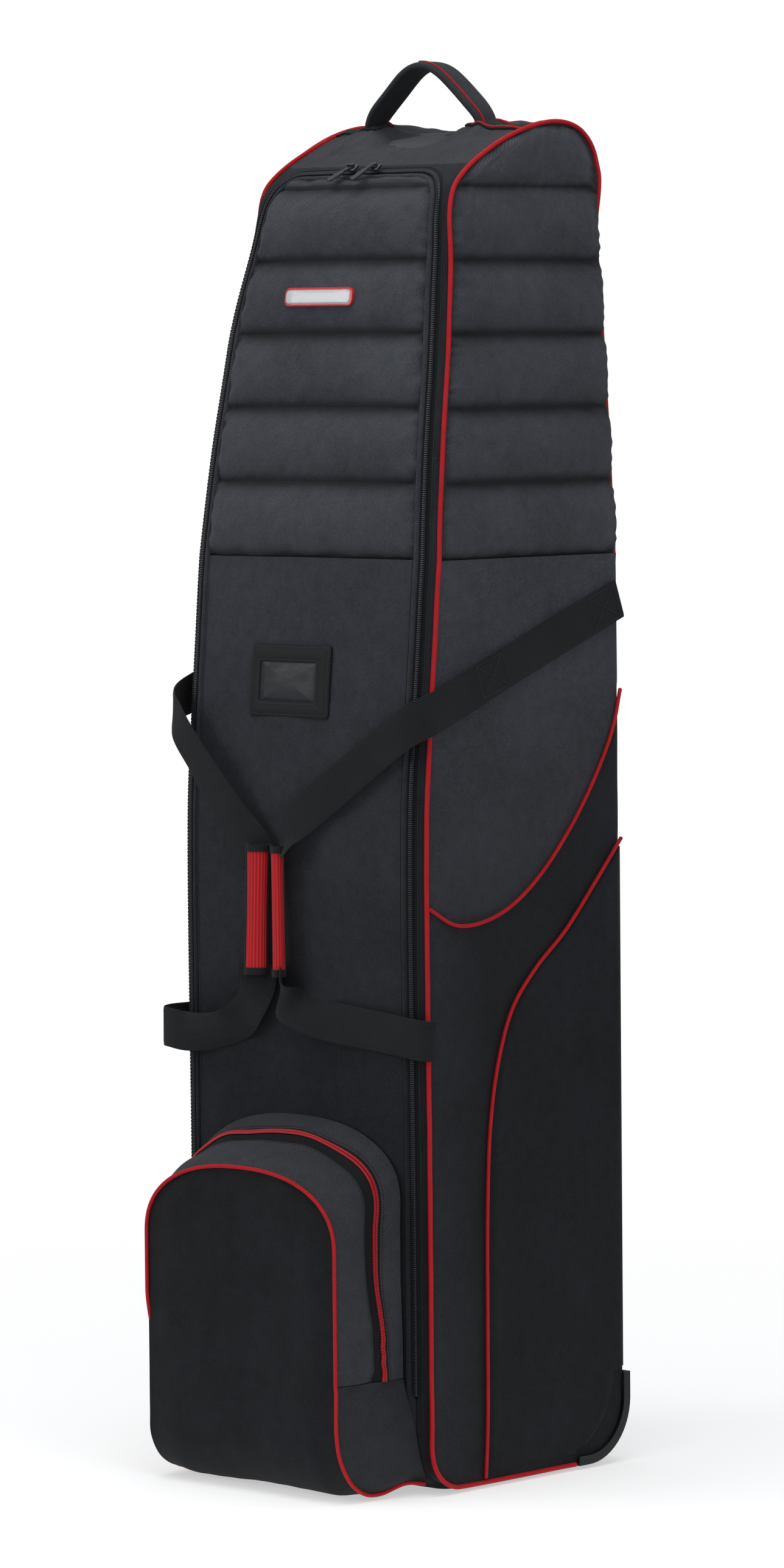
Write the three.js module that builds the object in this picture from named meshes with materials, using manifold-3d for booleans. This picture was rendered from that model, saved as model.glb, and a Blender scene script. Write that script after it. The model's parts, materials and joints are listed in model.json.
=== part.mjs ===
// Soft golf travel case: a tall fabric case with a padded head end, a front door on a U-shaped
// zip, a front pocket, wrap-round carry straps, a top handle and two recessed wheels.
// Millimetres, +Z up, +X right, front faces -Y, back faces +Y.
// Origin: on the floor, under the middle of the body.

import * as THREE from 'three';
import { mergeVertices } from 'three/addons/utils/BufferGeometryUtils.js';
import Module from 'manifold-3d';

const wasm = await Module();
wasm.setup();

// ---------------------------------------------------------------- driving dimensions
const HALF_WIDTH = 161; // body half width below the shoulder
const SHOULDER_Z = 883; // plain fabric below, padding above
const TOP_Z = 1296;
const FRONT_Y = -138.5;
const BACK_Y = 138;
const FLOOR_GAP = 7; // underside of the body above the floor
const FRONT_CORNER_R = 38.5;
const BACK_CORNER_R = 57;
const TAPER_LINEAR = 22.3; // the head end narrows by this much, plus the next, at the very top
const TAPER_CURVED = 7.7;

const GAP = 0.4; // clearance between separate pieces
const SKIN = 3; // plain fabric panel thickness
const PAD = 9; // quilted panel thickness
const TOP_PAD = 6;

const DOOR_MARGIN = 22; // corner of the body to the edge of the door
const COIL_MARGIN = 16; // corner of the body to the zip coil
const COIL_CORNER_R = 44; // radius of the zip's two upper corners
const COIL_TOP_Z = 1249;
const ZIP_END_Z = 95; // the zip stops here on both sides
const COIL_R = 2;
const TAPE_HALF_GAP = 1.2;
const DOOR_EDGE_CROWN = 7.5; // how far the front bulges at the door's edge
const DOOR_MID_CROWN = 3.5; // further bulge at the middle of the door

const PIPING_R = 2.6;
const THIN_PIPING_R = 2.1;
const PIPING_BREAK = 6; // the pocket's piping stops this far from the fold on either side
const SIDE_DECOR_X = HALF_WIDTH + GAP;

const WEBBING_W = 38;
const WEBBING_T = 2;
const STRAP_Y = -151.6; // centre plane of the straps across the front
const GRIP_L = 109;

const POCKET_BACK_Y = -150.2;
const POCKET_ZIP_Y = -177;
const POCKET_FACE_Y = -231;
const POCKET_FOLD_Z = 112;
const POCKET_BOTTOM_Z = 10;
const POCKET_WALL = 2.5;
const POCKET_BASE = { half: 134, springZ: 276, rise: 78 }; // arch outline against the door
const POCKET_FACE = { half: 124, springZ: 238, rise: 72 }; // arch outline of the front face

const WHEEL_R = 34;
const WHEEL_W = 24;
const WHEEL_X = 135;
const WHEEL_Y = 113;
const HUB_R = 21.6;
const AXLE_R = 4;
const WELL_R = 38;
const WELL_HALF_W = 14;
const WELL_WALL = 3;
const HOUSING_IN_X = 103;
const HOUSING_OUT_X = 163.9;
const HOUSING_BOTTOM_Y = 66;
const HOUSING_BACK_Z = 88;
const HOUSING_FLANGE = 6; // how far its rim reaches in over the side panel

const SKID_HALF_WIDTH = 140;
const SKID_FRONT_Y = -98;
const SKID_BACK_Y = 22;

const HANDLE_Y = 46;
const HANDLE_LEG_Z = 1301;
const HANDLE_APEX_Z = 1349;
const HANDLE_LEG_X = 71.5;

const SLIDER_X = [-10, 20]; // the two main sliders on the top run
const POCKET_SLIDER_Z = 124; // on the left-hand run of the pocket's zip

// ---------------------------------------------------------------- materials
function cloth(color, roughness = 0.9) {
  return new THREE.MeshStandardMaterial({ color, roughness, metalness: 0 });
}
const FABRIC = cloth(0x2f3238);
const DOBBY = cloth(0x24262b);
const QUILT = cloth(0x3b3f47);
const RED = cloth(0xb3242c, 0.6);
const BLACK_WEB = cloth(0x16171a, 0.8);
const RED_PAD = cloth(0xa8232b, 0.85);
const PLASTIC = cloth(0x141416, 0.45);
const TYRE = cloth(0x1c1c1d, 0.85);
const STEEL = new THREE.MeshStandardMaterial({ color: 0x8f9397, roughness: 0.35, metalness: 1 });
const DARK_METAL = new THREE.MeshStandardMaterial({ color: 0x2a2b2e, roughness: 0.4, metalness: 1 });
const CLEAR = new THREE.MeshStandardMaterial({
  color: 0xc9ced2, roughness: 0.15, metalness: 0, transparent: true, opacity: 0.4,
});

// ---------------------------------------------------------------- body outline in the Y-Z plane
// It starts under the body in front of the wheels, runs forward, up the front, over the top and
// down the back, so the outward side is always on the left of the direction of travel.
const outline = new THREE.Path();
outline.moveTo(HOUSING_BOTTOM_Y, FLOOR_GAP);
outline.lineTo(FRONT_Y + FRONT_CORNER_R, FLOOR_GAP);
outline.absarc(FRONT_Y + FRONT_CORNER_R, FLOOR_GAP + FRONT_CORNER_R, FRONT_CORNER_R,
  -Math.PI / 2, -Math.PI, true);
outline.lineTo(FRONT_Y, 640);
outline.splineThru([
  [-133, 720], [-126, 800], [-118, 889], [-106, 985], [-93, 1062], [-84, 1122], [-78, 1172],
  [-75, 1210], [-66, 1234], [-45, 1252], [-18, 1267], [14, 1281], [50, 1291.5], [85, TOP_Z],
  [113, 1290], [131, 1273], [BACK_Y, 1247],
].map(([y, z]) => new THREE.Vector2(y, z)));
outline.lineTo(BACK_Y, FLOOR_GAP + BACK_CORNER_R);
outline.absarc(BACK_Y - BACK_CORNER_R, FLOOR_GAP + BACK_CORNER_R, BACK_CORNER_R,
  0, -Math.PI / 2, true);
outline.lineTo(HOUSING_BOTTOM_Y, FLOOR_GAP);

const OUTLINE_LENGTH = outline.getLength();
const HINGE_S = HOUSING_BOTTOM_Y - (FRONT_Y + FRONT_CORNER_R); // where the door folds

function outlinePoint(s) {
  return outline.getPoint(THREE.MathUtils.clamp(s / OUTLINE_LENGTH, 0, 1));
}

function outlineNormal(s) {
  const step = 0.5;
  const ahead = outlinePoint(Math.min(s + step, OUTLINE_LENGTH));
  const behind = outlinePoint(Math.max(s - step, 0));
  const along = ahead.sub(behind).normalize();
  return new THREE.Vector2(-along.y, along.x);
}

// Distance along the outline at which a test first becomes true, by halving.
function findAlong(low, high, reached) {
  for (let i = 0; i < 40; i += 1) {
    const middle = (low + high) / 2;
    if (reached(outlinePoint(middle))) high = middle;
    else low = middle;
  }
  return high;
}
const TOP_S = findAlong(HINGE_S + 700, HINGE_S + 1700, (p) => p.x > 85);
const sFront = (z) => findAlong(HINGE_S, TOP_S, (p) => p.y >= z);
const sBack = (z) => findAlong(TOP_S, OUTLINE_LENGTH - 1, (p) => p.y <= z);
const frontY = (z) => outlinePoint(sFront(z)).x;
const backY = (z) => outlinePoint(sBack(z)).x;

function halfWidth(z) {
  const t = Math.max(0, (z - SHOULDER_Z) / (TOP_Z - SHOULDER_Z));
  return HALF_WIDTH - TAPER_LINEAR * t - TAPER_CURVED * t * t;
}

// The front is crowned: it rises from the body's corners to the door's edge and on to its middle.
function crown(x, z, s) {
  if (s > TOP_S) return 0;
  const low = THREE.MathUtils.smoothstep(z, FLOOR_GAP, 70);
  const high = 1 - THREE.MathUtils.smoothstep(z, 1120, COIL_TOP_Z);
  const edge = halfWidth(z) - DOOR_MARGIN;
  const off = Math.abs(x);
  if (off > edge) {
    return low * high * DOOR_EDGE_CROWN * Math.max(0, (halfWidth(z) - off) / DOOR_MARGIN);
  }
  return low * high * (DOOR_EDGE_CROWN + DOOR_MID_CROWN * (1 - (x / edge) ** 2));
}

// A point at height h above the body's surface, at x and distance s along the outline.
function surface(x, s, h) {
  const p = outlinePoint(s);
  const n = outlineNormal(s);
  const out = crown(x, p.y, s) + h;
  return new THREE.Vector3(x, p.x + n.x * out, p.y + n.y * out);
}

// ---------------------------------------------------------------- building blocks
function steps(from, to, count) {
  return Array.from({ length: count + 1 }, (_, i) => from + ((to - from) * i) / count);
}

function closedGeometry(positions, triangles) {
  let volume = 0;
  const corner = (i) => new THREE.Vector3().fromArray(positions, i * 3);
  for (let i = 0; i < triangles.length; i += 3) {
    const [a, b, c] = [triangles[i], triangles[i + 1], triangles[i + 2]].map(corner);
    volume += a.dot(b.cross(c));
  }
  if (volume < 0) triangles.reverse();
  const geometry = new THREE.BufferGeometry();
  geometry.setAttribute('position', new THREE.Float32BufferAttribute(positions, 3));
  geometry.setIndex(triangles);
  return geometry;
}

// A sheet with thickness: two matching grids of points, joined round their four edges.
function slab(columns, rows, outer, inner) {
  const positions = [];
  const triangles = [];
  const layer = columns.length * rows.length;
  for (const at of [outer, inner]) {
    for (const v of rows) {
      for (const u of columns) positions.push(...at(u, v).toArray());
    }
  }
  const index = (i, j, k) => k * layer + j * columns.length + i;
  const quad = (a, b, c, d) => triangles.push(a, b, c, a, c, d);
  const lastI = columns.length - 1;
  const lastJ = rows.length - 1;
  for (let j = 0; j < lastJ; j += 1) {
    for (let i = 0; i < lastI; i += 1) {
      quad(index(i, j, 0), index(i + 1, j, 0), index(i + 1, j + 1, 0), index(i, j + 1, 0));
      quad(index(i, j, 1), index(i, j + 1, 1), index(i + 1, j + 1, 1), index(i + 1, j, 1));
    }
    quad(index(0, j, 0), index(0, j + 1, 0), index(0, j + 1, 1), index(0, j, 1));
    quad(index(lastI, j, 0), index(lastI, j, 1), index(lastI, j + 1, 1), index(lastI, j + 1, 0));
  }
  for (let i = 0; i < lastI; i += 1) {
    quad(index(i, 0, 0), index(i, 0, 1), index(i + 1, 0, 1), index(i + 1, 0, 0));
    quad(index(i, lastJ, 0), index(i + 1, lastJ, 0), index(i + 1, lastJ, 1), index(i, lastJ, 1));
  }
  return closedGeometry(positions, triangles);
}

// A path that an extrusion follows station by station, so a cord bends where its neighbours do.
class Stations extends THREE.Curve {
  constructor(points) {
    super();
    this.points = points;
  }

  getPointAt(t) {
    const place = t * (this.points.length - 1);
    const i = Math.min(Math.floor(place), this.points.length - 2);
    return this.points[i].clone().lerp(this.points[i + 1], place - i);
  }

  getTangentAt(t) {
    const last = this.points.length - 1;
    const i = Math.round(t * last);
    const ahead = this.points[Math.min(i + 1, last)];
    const behind = this.points[Math.max(i - 1, 0)];
    return ahead.clone().sub(behind).normalize();
  }
}

function cord(points, radius, sides = 6) {
  const circle = new THREE.Shape(steps(0, Math.PI * 2, sides).slice(0, sides)
    .map((a) => new THREE.Vector2(radius * Math.cos(a), radius * Math.sin(a))));
  const path = new Stations(points);
  return new THREE.ExtrudeGeometry(circle, { steps: points.length - 1, extrudePath: path });
}

function smooth(points, count) {
  return new THREE.CatmullRomCurve3(points, false, 'centripetal').getPoints(count);
}

// Flat webbing along a smooth curve. Each stop gives a point and the way the face looks there.
function webbing(stops, count, width = WEBBING_W, thickness = WEBBING_T) {
  const path = new THREE.CatmullRomCurve3(stops.map((stop) => stop.at), false, 'centripetal');
  const faceAt = (t) => {
    const place = t * (stops.length - 1);
    const i = Math.min(Math.floor(place), stops.length - 2);
    return stops[i].face.clone().lerp(stops[i + 1].face, place - i).normalize();
  };
  const at = (lift) => (side, t) => {
    const along = path.getTangent(t);
    const across = new THREE.Vector3().crossVectors(along, faceAt(t)).normalize();
    const face = new THREE.Vector3().crossVectors(across, along).normalize();
    return path.getPoint(t).addScaledVector(across, (side * width) / 2)
      .addScaledVector(face, lift);
  };
  return slab([-1, 1], steps(0, 1, count), at(thickness / 2), at(-thickness / 2));
}

function mirrorX(geometry) {
  const copy = geometry.index ? geometry.toNonIndexed() : geometry.clone();
  const p = copy.attributes.position;
  for (let i = 0; i < p.count; i += 3) {
    const [a, b, c] = [0, 1, 2].map((k) => new THREE.Vector3().fromBufferAttribute(p, i + k));
    [a, c, b].forEach((v, k) => p.setXYZ(i + k, -v.x, v.y, v.z));
  }
  return copy;
}

// ---------------------------------------------------------------- joining and cutting
function toSolid(geometry) {
  const plain = geometry.clone();
  for (const name of ['normal', 'uv']) {
    if (plain.attributes[name]) plain.deleteAttribute(name);
  }
  const merged = mergeVertices(plain, 1e-4);
  return new wasm.Manifold(new wasm.Mesh({
    numProp: 3,
    vertProperties: new Float32Array(merged.attributes.position.array),
    triVerts: new Uint32Array(merged.index.array),
  }));
}

function toGeometry(solid) {
  const mesh = solid.getMesh();
  const geometry = new THREE.BufferGeometry();
  geometry.setAttribute('position', new THREE.BufferAttribute(mesh.vertProperties, 3));
  geometry.setIndex(new THREE.BufferAttribute(mesh.triVerts, 1));
  return geometry;
}

function box(x0, x1, y0, y1, z0, z1) {
  const geometry = new THREE.BoxGeometry(x1 - x0, y1 - y0, z1 - z0);
  return geometry.translate((x0 + x1) / 2, (y0 + y1) / 2, (z0 + z1) / 2);
}

// A cylinder on the wheel's axis line, from x0 to x1.
function axial(radius, x0, x1, sides) {
  const geometry = new THREE.CylinderGeometry(radius, radius, x1 - x0, sides);
  return geometry.rotateZ(Math.PI / 2).translate((x0 + x1) / 2, WHEEL_Y, WHEEL_R);
}

const group = new THREE.Group();
function add(name, geometry, material) {
  const mesh = new THREE.Mesh(geometry, material);
  mesh.name = name;
  group.add(mesh);
}
function addPair(name, geometry, material) {
  add(`${name}_right`, geometry, material);
  add(`${name}_left`, mirrorX(geometry), material);
}

// ---------------------------------------------------------------- body panels
function sidePanel(heights, thickness) {
  const at = (inset) => (u, z) => {
    const y = THREE.MathUtils.lerp(frontY(z) + GAP, backY(z) - GAP, u);
    return new THREE.Vector3(halfWidth(z) - inset, y, z);
  };
  return slab([0, 1], heights, at(0), at(thickness));
}

// A panel that spans between the two side panels along a stretch of the outline.
function crossPanel(stations, across, thickness, half) {
  const at = (depth) => (u, s) => surface(u * half(s), s, -depth);
  return slab(across, stations, at(0), at(thickness));
}

function bodyPanels() {
  const lowHeights = [FLOOR_GAP + 0.6, 11, 18, 29, 45, 64, 300, 640, 720, 800, SHOULDER_Z];
  addPair('side_panel', sidePanel(lowHeights, SKIN), FABRIC);
  const highHeights = [SHOULDER_Z + GAP, 985, 1062, 1122, 1172, 1205, 1222, 1235, 1247, 1258,
    1267, 1276, 1284, 1290, 1294.5];
  addPair('side_pad', sidePanel(highHeights, PAD), QUILT);

  const insideLow = HALF_WIDTH - SKIN - GAP;
  add('back_panel', box(-insideLow, insideLow, BACK_Y - SKIN, BACK_Y, HOUSING_BACK_Z + 1,
    SHOULDER_Z), FABRIC);
  const insideHigh = (s) => halfWidth(outlinePoint(s).y) - PAD - GAP;
  const topEnd = sBack(1240);
  add('back_pad', crossPanel(steps(topEnd + GAP, sBack(SHOULDER_Z + GAP), 5), [-1, 0, 1], PAD,
    insideHigh), QUILT);
  add('top_panel', crossPanel(steps(COIL_TOP_S + 13, topEnd, 14), steps(-1, 1, 4), TOP_PAD,
    insideHigh), DOBBY);

  // The floor panel is full width in front of the wheels and narrower between them.
  const narrow = HOUSING_IN_X - GAP;
  const wide = [HINGE_S - GAP, 0.8];
  const between = steps(OUTLINE_LENGTH, sBack(HOUSING_BACK_Z) + GAP, 8);
  const floorHalf = new Map([...wide.map((s) => [s, insideLow]), ...between.map((s) => [s, narrow])]);
  add('bottom_panel', crossPanel([...floorHalf.keys()], [-1, 1], SKIN,
    (s) => floorHalf.get(s)), FABRIC);
  const boardZ = FLOOR_GAP + SKIN + GAP;
  add('base_board', box(-150, 150, -95, 62, boardZ, boardZ + SKIN), PLASTIC);
}

// ---------------------------------------------------------------- front opening and its zip
const COIL_TOP_S = sFront(COIL_TOP_Z);
const COIL_BEND_S = COIL_TOP_S - COIL_CORNER_R;
const DOOR_START_S = HINGE_S + 0.6;

// Stops along the U-shaped zip. Each knows how to step outward from the coil by a distance.
function zipStops(startS) {
  const stops = [];
  const heights = [sFront(ZIP_END_Z - 1), sFront(ZIP_END_Z), sFront(640), sFront(760),
    sFront(SHOULDER_Z - 1.5), sFront(SHOULDER_Z), ...steps(sFront(930), COIL_BEND_S, 7)];
  const straight = [startS, ...heights.filter((s) => s > startS + 0.1)];
  const turn = steps(0, Math.PI / 2, 6).slice(1);
  const width = (s) => halfWidth(outlinePoint(s).y);
  for (const side of [-1, 1]) {
    const run = straight.map((s) => (d) => [side * (width(s) - COIL_MARGIN + d), s]);
    const bend = turn.map((a) => (d) => {
      const s = COIL_BEND_S + (COIL_CORNER_R + d) * Math.sin(a);
      const centre = width(s) - COIL_MARGIN - COIL_CORNER_R;
      return [side * (centre + (COIL_CORNER_R + d) * Math.cos(a)), s];
    });
    const half = [...run, ...bend];
    stops.push(...(side < 0 ? half : half.reverse()));
  }
  return stops;
}

function zipRibbon(startS, from, to, top, bottom) {
  const stops = zipStops(startS);
  const at = (h) => (d, stop) => surface(...stop(d), h);
  return slab([from, to], stops, at(top), at(bottom));
}

// The fabric frame round the door: it fills from the zip out to the body's corners.
function zipGusset() {
  const stops = zipStops(DOOR_START_S);
  const outerTopS = COIL_TOP_S + 12.6;
  const zipEnd = sFront(ZIP_END_Z);
  const at = (h) => (edge, stop) => {
    const [x, s] = stop(0);
    const side = Math.sign(x);
    if (edge === 0) {
      const reach = s < zipEnd - 0.5 ? COIL_MARGIN - DOOR_MARGIN + GAP : TAPE_HALF_GAP;
      return surface(...stop(reach), h);
    }
    const rimAt = (along) => {
      const z = outlinePoint(along).y;
      const wall = z > SHOULDER_Z - 1 ? PAD : SKIN;
      return halfWidth(z) - wall - GAP;
    };
    const turn = (s - COIL_BEND_S) / COIL_CORNER_R;
    if (turn <= 0.02) return surface(side * rimAt(s), s, h);
    const angle = Math.asin(Math.min(1, turn));
    const quarter = Math.PI / 4;
    if (angle <= quarter) {
      const along = THREE.MathUtils.lerp(COIL_BEND_S, outerTopS, angle / quarter);
      return surface(side * rimAt(along), along, h);
    }
    const share = (angle - quarter) / quarter;
    const inner = halfWidth(COIL_TOP_Z) - COIL_MARGIN - COIL_CORNER_R;
    return surface(side * THREE.MathUtils.lerp(rimAt(outerTopS), inner, share), outerTopS, h);
  };
  return slab([0, 1], stops, at(0), at(-1.6));
}

function zipCoil() {
  const points = zipStops(sFront(ZIP_END_Z)).map((stop) => surface(...stop(0), COIL_R + GAP));
  return cord(points, COIL_R);
}

// ---------------------------------------------------------------- front door
function doorHalf(s) {
  const z = outlinePoint(s).y;
  const up = s - COIL_BEND_S;
  if (up <= 0) return halfWidth(z) - DOOR_MARGIN;
  const radius = COIL_CORNER_R - (DOOR_MARGIN - COIL_MARGIN);
  const centre = halfWidth(z) - COIL_MARGIN - COIL_CORNER_R;
  return centre + Math.sqrt(Math.max(0, radius ** 2 - up ** 2));
}

function doorPanels() {
  const seam = sFront(SHOULDER_Z);
  const cornerEnd = HINGE_S + (FRONT_CORNER_R * Math.PI) / 2;
  const lower = [...steps(DOOR_START_S, cornerEnd, 6), sFront(75), sFront(640), sFront(720),
    sFront(800), seam];
  const across = steps(-1, 1, 6);
  add('door_panel', crossPanel(lower, across, SKIN, doorHalf), FABRIC);
  const top = COIL_TOP_S - (DOOR_MARGIN - COIL_MARGIN);
  const upper = [...steps(seam + GAP, COIL_BEND_S, 8), ...steps(COIL_BEND_S, top, 6).slice(1)];
  add('door_pad', crossPanel(upper, across, PAD, doorHalf), QUILT);
  add('zip_tape_door', zipRibbon(sFront(ZIP_END_Z), -TAPE_HALF_GAP,
    COIL_MARGIN - DOOR_MARGIN + GAP, 0, -1.2), BLACK_WEB);
}

// A patch lying on the door between two heights and two sides.
function patch(x0, x1, z0, z1, low, high) {
  const at = (h) => (x, s) => surface(x, s, h);
  return slab(steps(x0, x1, 4), steps(sFront(z0), sFront(z1), 2), at(high), at(low));
}

function doorFittings() {
  const frame = toSolid(patch(-66, 38, 730, 799, GAP, 3.2));
  const hole = toSolid(patch(-54.4, 19.4, 744.6, 782.4, -2, 8));
  add('id_frame', toGeometry(frame.subtract(hole)), PLASTIC);
  add('id_window', patch(-54, 19, 745, 782, GAP, 1.4), CLEAR);

  const [left, right, halfHeight] = [-51, 38, 9];
  const middle = sFront(1127);
  const at = (h) => (x, v) => {
    const inset = Math.min(x - left, right - x);
    const drop = halfHeight - Math.min(inset, halfHeight);
    const half = Math.max(2, Math.sqrt(halfHeight ** 2 - drop ** 2));
    return surface(x, middle + v * half, h);
  };
  const columns = [left, left + 2, left + 5, left + 9, -6, right - 9, right - 5, right - 2, right];
  add('badge', slab(columns, [-1, 1], at(2), at(GAP)), RED);
}

// ---------------------------------------------------------------- sliders and pulls
// The slider sits over the coil; its post carries the pull under a small cap. Both are drawn in
// the X-Y plane with the zip along X and +Z away from the case.
function sliderBlank() {
  const block = toSolid(new THREE.BoxGeometry(13, 8.5, 3).translate(0, 0, 1.5));
  const post = toSolid(new THREE.CylinderGeometry(1, 1, 3.4, 10).rotateX(Math.PI / 2)
    .translate(0, 0, 4.2));
  const cap = toSolid(new THREE.BoxGeometry(6.5, 6.5, 1).translate(0, 0, 6.1));
  return toGeometry(block.add(post).add(cap));
}

function pullBlank() {
  const tag = new THREE.Shape();
  tag.absarc(0, 0, 3.4, Math.PI, 0, true);
  tag.lineTo(3.2, -26);
  tag.lineTo(-3.2, -26);
  tag.holes.push(new THREE.Path().absarc(0, 0, 1.6, 0, Math.PI * 2, false));
  const plate = new THREE.ExtrudeGeometry(tag, { depth: 1.5, bevelEnabled: false, curveSegments: 8 });
  return plate.translate(0, 0, 3.6);
}

// Turns a small piece from its own X-Y plane onto the surface, with its +Z looking outward.
function place(geometry, x, s) {
  const n = outlineNormal(s);
  const out = new THREE.Vector3(0, n.x, n.y);
  const right = new THREE.Vector3(1, 0, 0);
  const up = new THREE.Vector3().crossVectors(out, right);
  const turn = new THREE.Matrix4().makeBasis(right, up, out);
  turn.setPosition(surface(x, s, 2 * COIL_R + 2 * GAP));
  return geometry.applyMatrix4(turn);
}

function zipHardware() {
  const names = ['left', 'right'];
  SLIDER_X.forEach((x, i) => {
    add(`zip_slider_${names[i]}`, place(sliderBlank(), x, COIL_TOP_S), DARK_METAL);
    add(`zip_pull_${names[i]}`, place(pullBlank(), x, COIL_TOP_S), DARK_METAL);
  });
}

// ---------------------------------------------------------------- front pocket
function pocketArch(depth, inset) {
  const mix = (key) => THREE.MathUtils.lerp(POCKET_BASE[key], POCKET_FACE[key], depth);
  const y = THREE.MathUtils.lerp(POCKET_BACK_Y, POCKET_FACE_Y, depth);
  return (t) => {
    const half = mix('half') - inset;
    const rise = mix('rise') - inset;
    const spring = mix('springZ');
    const start = POCKET_FOLD_Z + GAP;
    if (t <= 0) return new THREE.Vector3(half, y, THREE.MathUtils.lerp(spring, start, -t));
    if (t >= 1) return new THREE.Vector3(-half, y, THREE.MathUtils.lerp(spring, start, t - 1));
    const a = t * Math.PI;
    return new THREE.Vector3(half * Math.cos(a), y, spring + rise * Math.sin(a));
  };
}
const ARCH_STOPS = [-1, -0.5, ...steps(0, 1, 16), 1.5, 2];
const depthOf = (y) => (y - POCKET_BACK_Y) / (POCKET_FACE_Y - POCKET_BACK_Y);

function archBand(fromY, toY) {
  const at = (inset) => (y, t) => pocketArch(depthOf(y), inset)(t);
  return slab([fromY, toY], ARCH_STOPS, at(0), at(POCKET_WALL));
}

function facePlate(points) {
  const shape = new THREE.Shape(points.map((p) => new THREE.Vector2(p.x, p.z)));
  const plate = new THREE.ExtrudeGeometry(shape, { depth: POCKET_WALL, bevelEnabled: false });
  return plate.rotateX(Math.PI / 2).translate(0, POCKET_FACE_Y + POCKET_WALL, 0);
}

// The fixed lower tray: side walls and floor in one sweep, closed by a front plate.
function pocketTray() {
  const radius = 26;
  const rim = (half, floorZ, y) => {
    const points = [new THREE.Vector3(half, y, POCKET_FOLD_Z)];
    for (const a of steps(0, Math.PI / 2, 5)) {
      points.push(new THREE.Vector3(half - radius + radius * Math.cos(a), y,
        floorZ + radius - radius * Math.sin(a)));
    }
    return [...points, ...points.slice().reverse().map((p) => new THREE.Vector3(-p.x, y, p.z))];
  };
  const at = (inset) => (depth, i) => {
    const half = THREE.MathUtils.lerp(POCKET_BASE.half, POCKET_FACE.half, depth) - inset;
    const y = THREE.MathUtils.lerp(POCKET_BACK_Y, POCKET_FACE_Y, depth);
    return rim(half, POCKET_BOTTOM_Z + inset, y)[i];
  };
  const count = rim(POCKET_FACE.half, POCKET_BOTTOM_Z, 0).length;
  const wall = toSolid(slab([0, 1], steps(0, count - 1, count - 1), at(0), at(POCKET_WALL)));
  const face = rim(POCKET_FACE.half, POCKET_BOTTOM_Z, 0);
  return { solid: toGeometry(wall.add(toSolid(facePlate(face)))), edge: face };
}

function pocket() {
  add('pocket_back_gusset', archBand(POCKET_BACK_Y, POCKET_ZIP_Y + GAP), DOBBY);
  const band = toSolid(archBand(POCKET_ZIP_Y - GAP, POCKET_FACE_Y));
  const faceEdge = ARCH_STOPS.map((t) => pocketArch(1, 0)(t));
  add('pocket_flap', toGeometry(band.add(toSolid(facePlate(faceEdge)))), FABRIC);
  const tray = pocketTray();
  add('pocket_lower', tray.solid, FABRIC);

  const lift = COIL_R + GAP;
  const coil = ARCH_STOPS.map((t) => pocketArch(depthOf(POCKET_ZIP_Y + COIL_R + GAP), -lift)(t));
  add('pocket_zip_coil', cord(coil, COIL_R), RED);

  const forward = -(THIN_PIPING_R + GAP);
  const ahead = (x, z) => new THREE.Vector3(x, POCKET_FACE_Y + forward, z);
  const flapEdge = ARCH_STOPS.map((t) => {
    const p = pocketArch(1, THIN_PIPING_R)(t);
    return ahead(p.x, Math.max(p.z, POCKET_FOLD_Z + PIPING_BREAK));
  });
  add('pocket_piping_flap', cord(flapEdge, THIN_PIPING_R), RED);
  const [lowest, highest] = [POCKET_BOTTOM_Z + THIN_PIPING_R, POCKET_FOLD_Z - PIPING_BREAK];
  const trayEdge = tray.edge.map((p) => ahead(p.x - Math.sign(p.x) * THIN_PIPING_R,
    THREE.MathUtils.clamp(p.z, lowest, highest)));
  add('pocket_piping_lower', cord(trayEdge, THIN_PIPING_R), RED);

  // The slider waits at the lower end of the left-hand run, out of sight from the front right.
  const edge = pocketArch(depthOf(POCKET_ZIP_Y + COIL_R + GAP), -lift)(2);
  const toSide = (geometry) => geometry.rotateY(-Math.PI / 2)
    .translate(edge.x - COIL_R - 2 * GAP, edge.y, POCKET_SLIDER_Z);
  add('pocket_slider', toSide(sliderBlank()), DARK_METAL);
  add('pocket_pull', toSide(pullBlank().rotateZ(-Math.PI / 2)), DARK_METAL);
}

// ---------------------------------------------------------------- pipings and side decoration
const onSide = (x) => ([y, z]) => new THREE.Vector3(x, y, z);
const LOWER_SWOOSH = [[-67, 10], [-64, 60], [-63, 160], [-62, 260], [-57, 345], [-46, 402],
  [-25, 454], [8, 490], [52, 524], [96, 568], [134, 608]];
const UPPER_SWOOSH = [[-134, 554], [-104, 540], [-72, 539], [-31, 550], [12, 576], [60, 622],
  [101, 676], [123, 716], [134, 752]];

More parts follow.
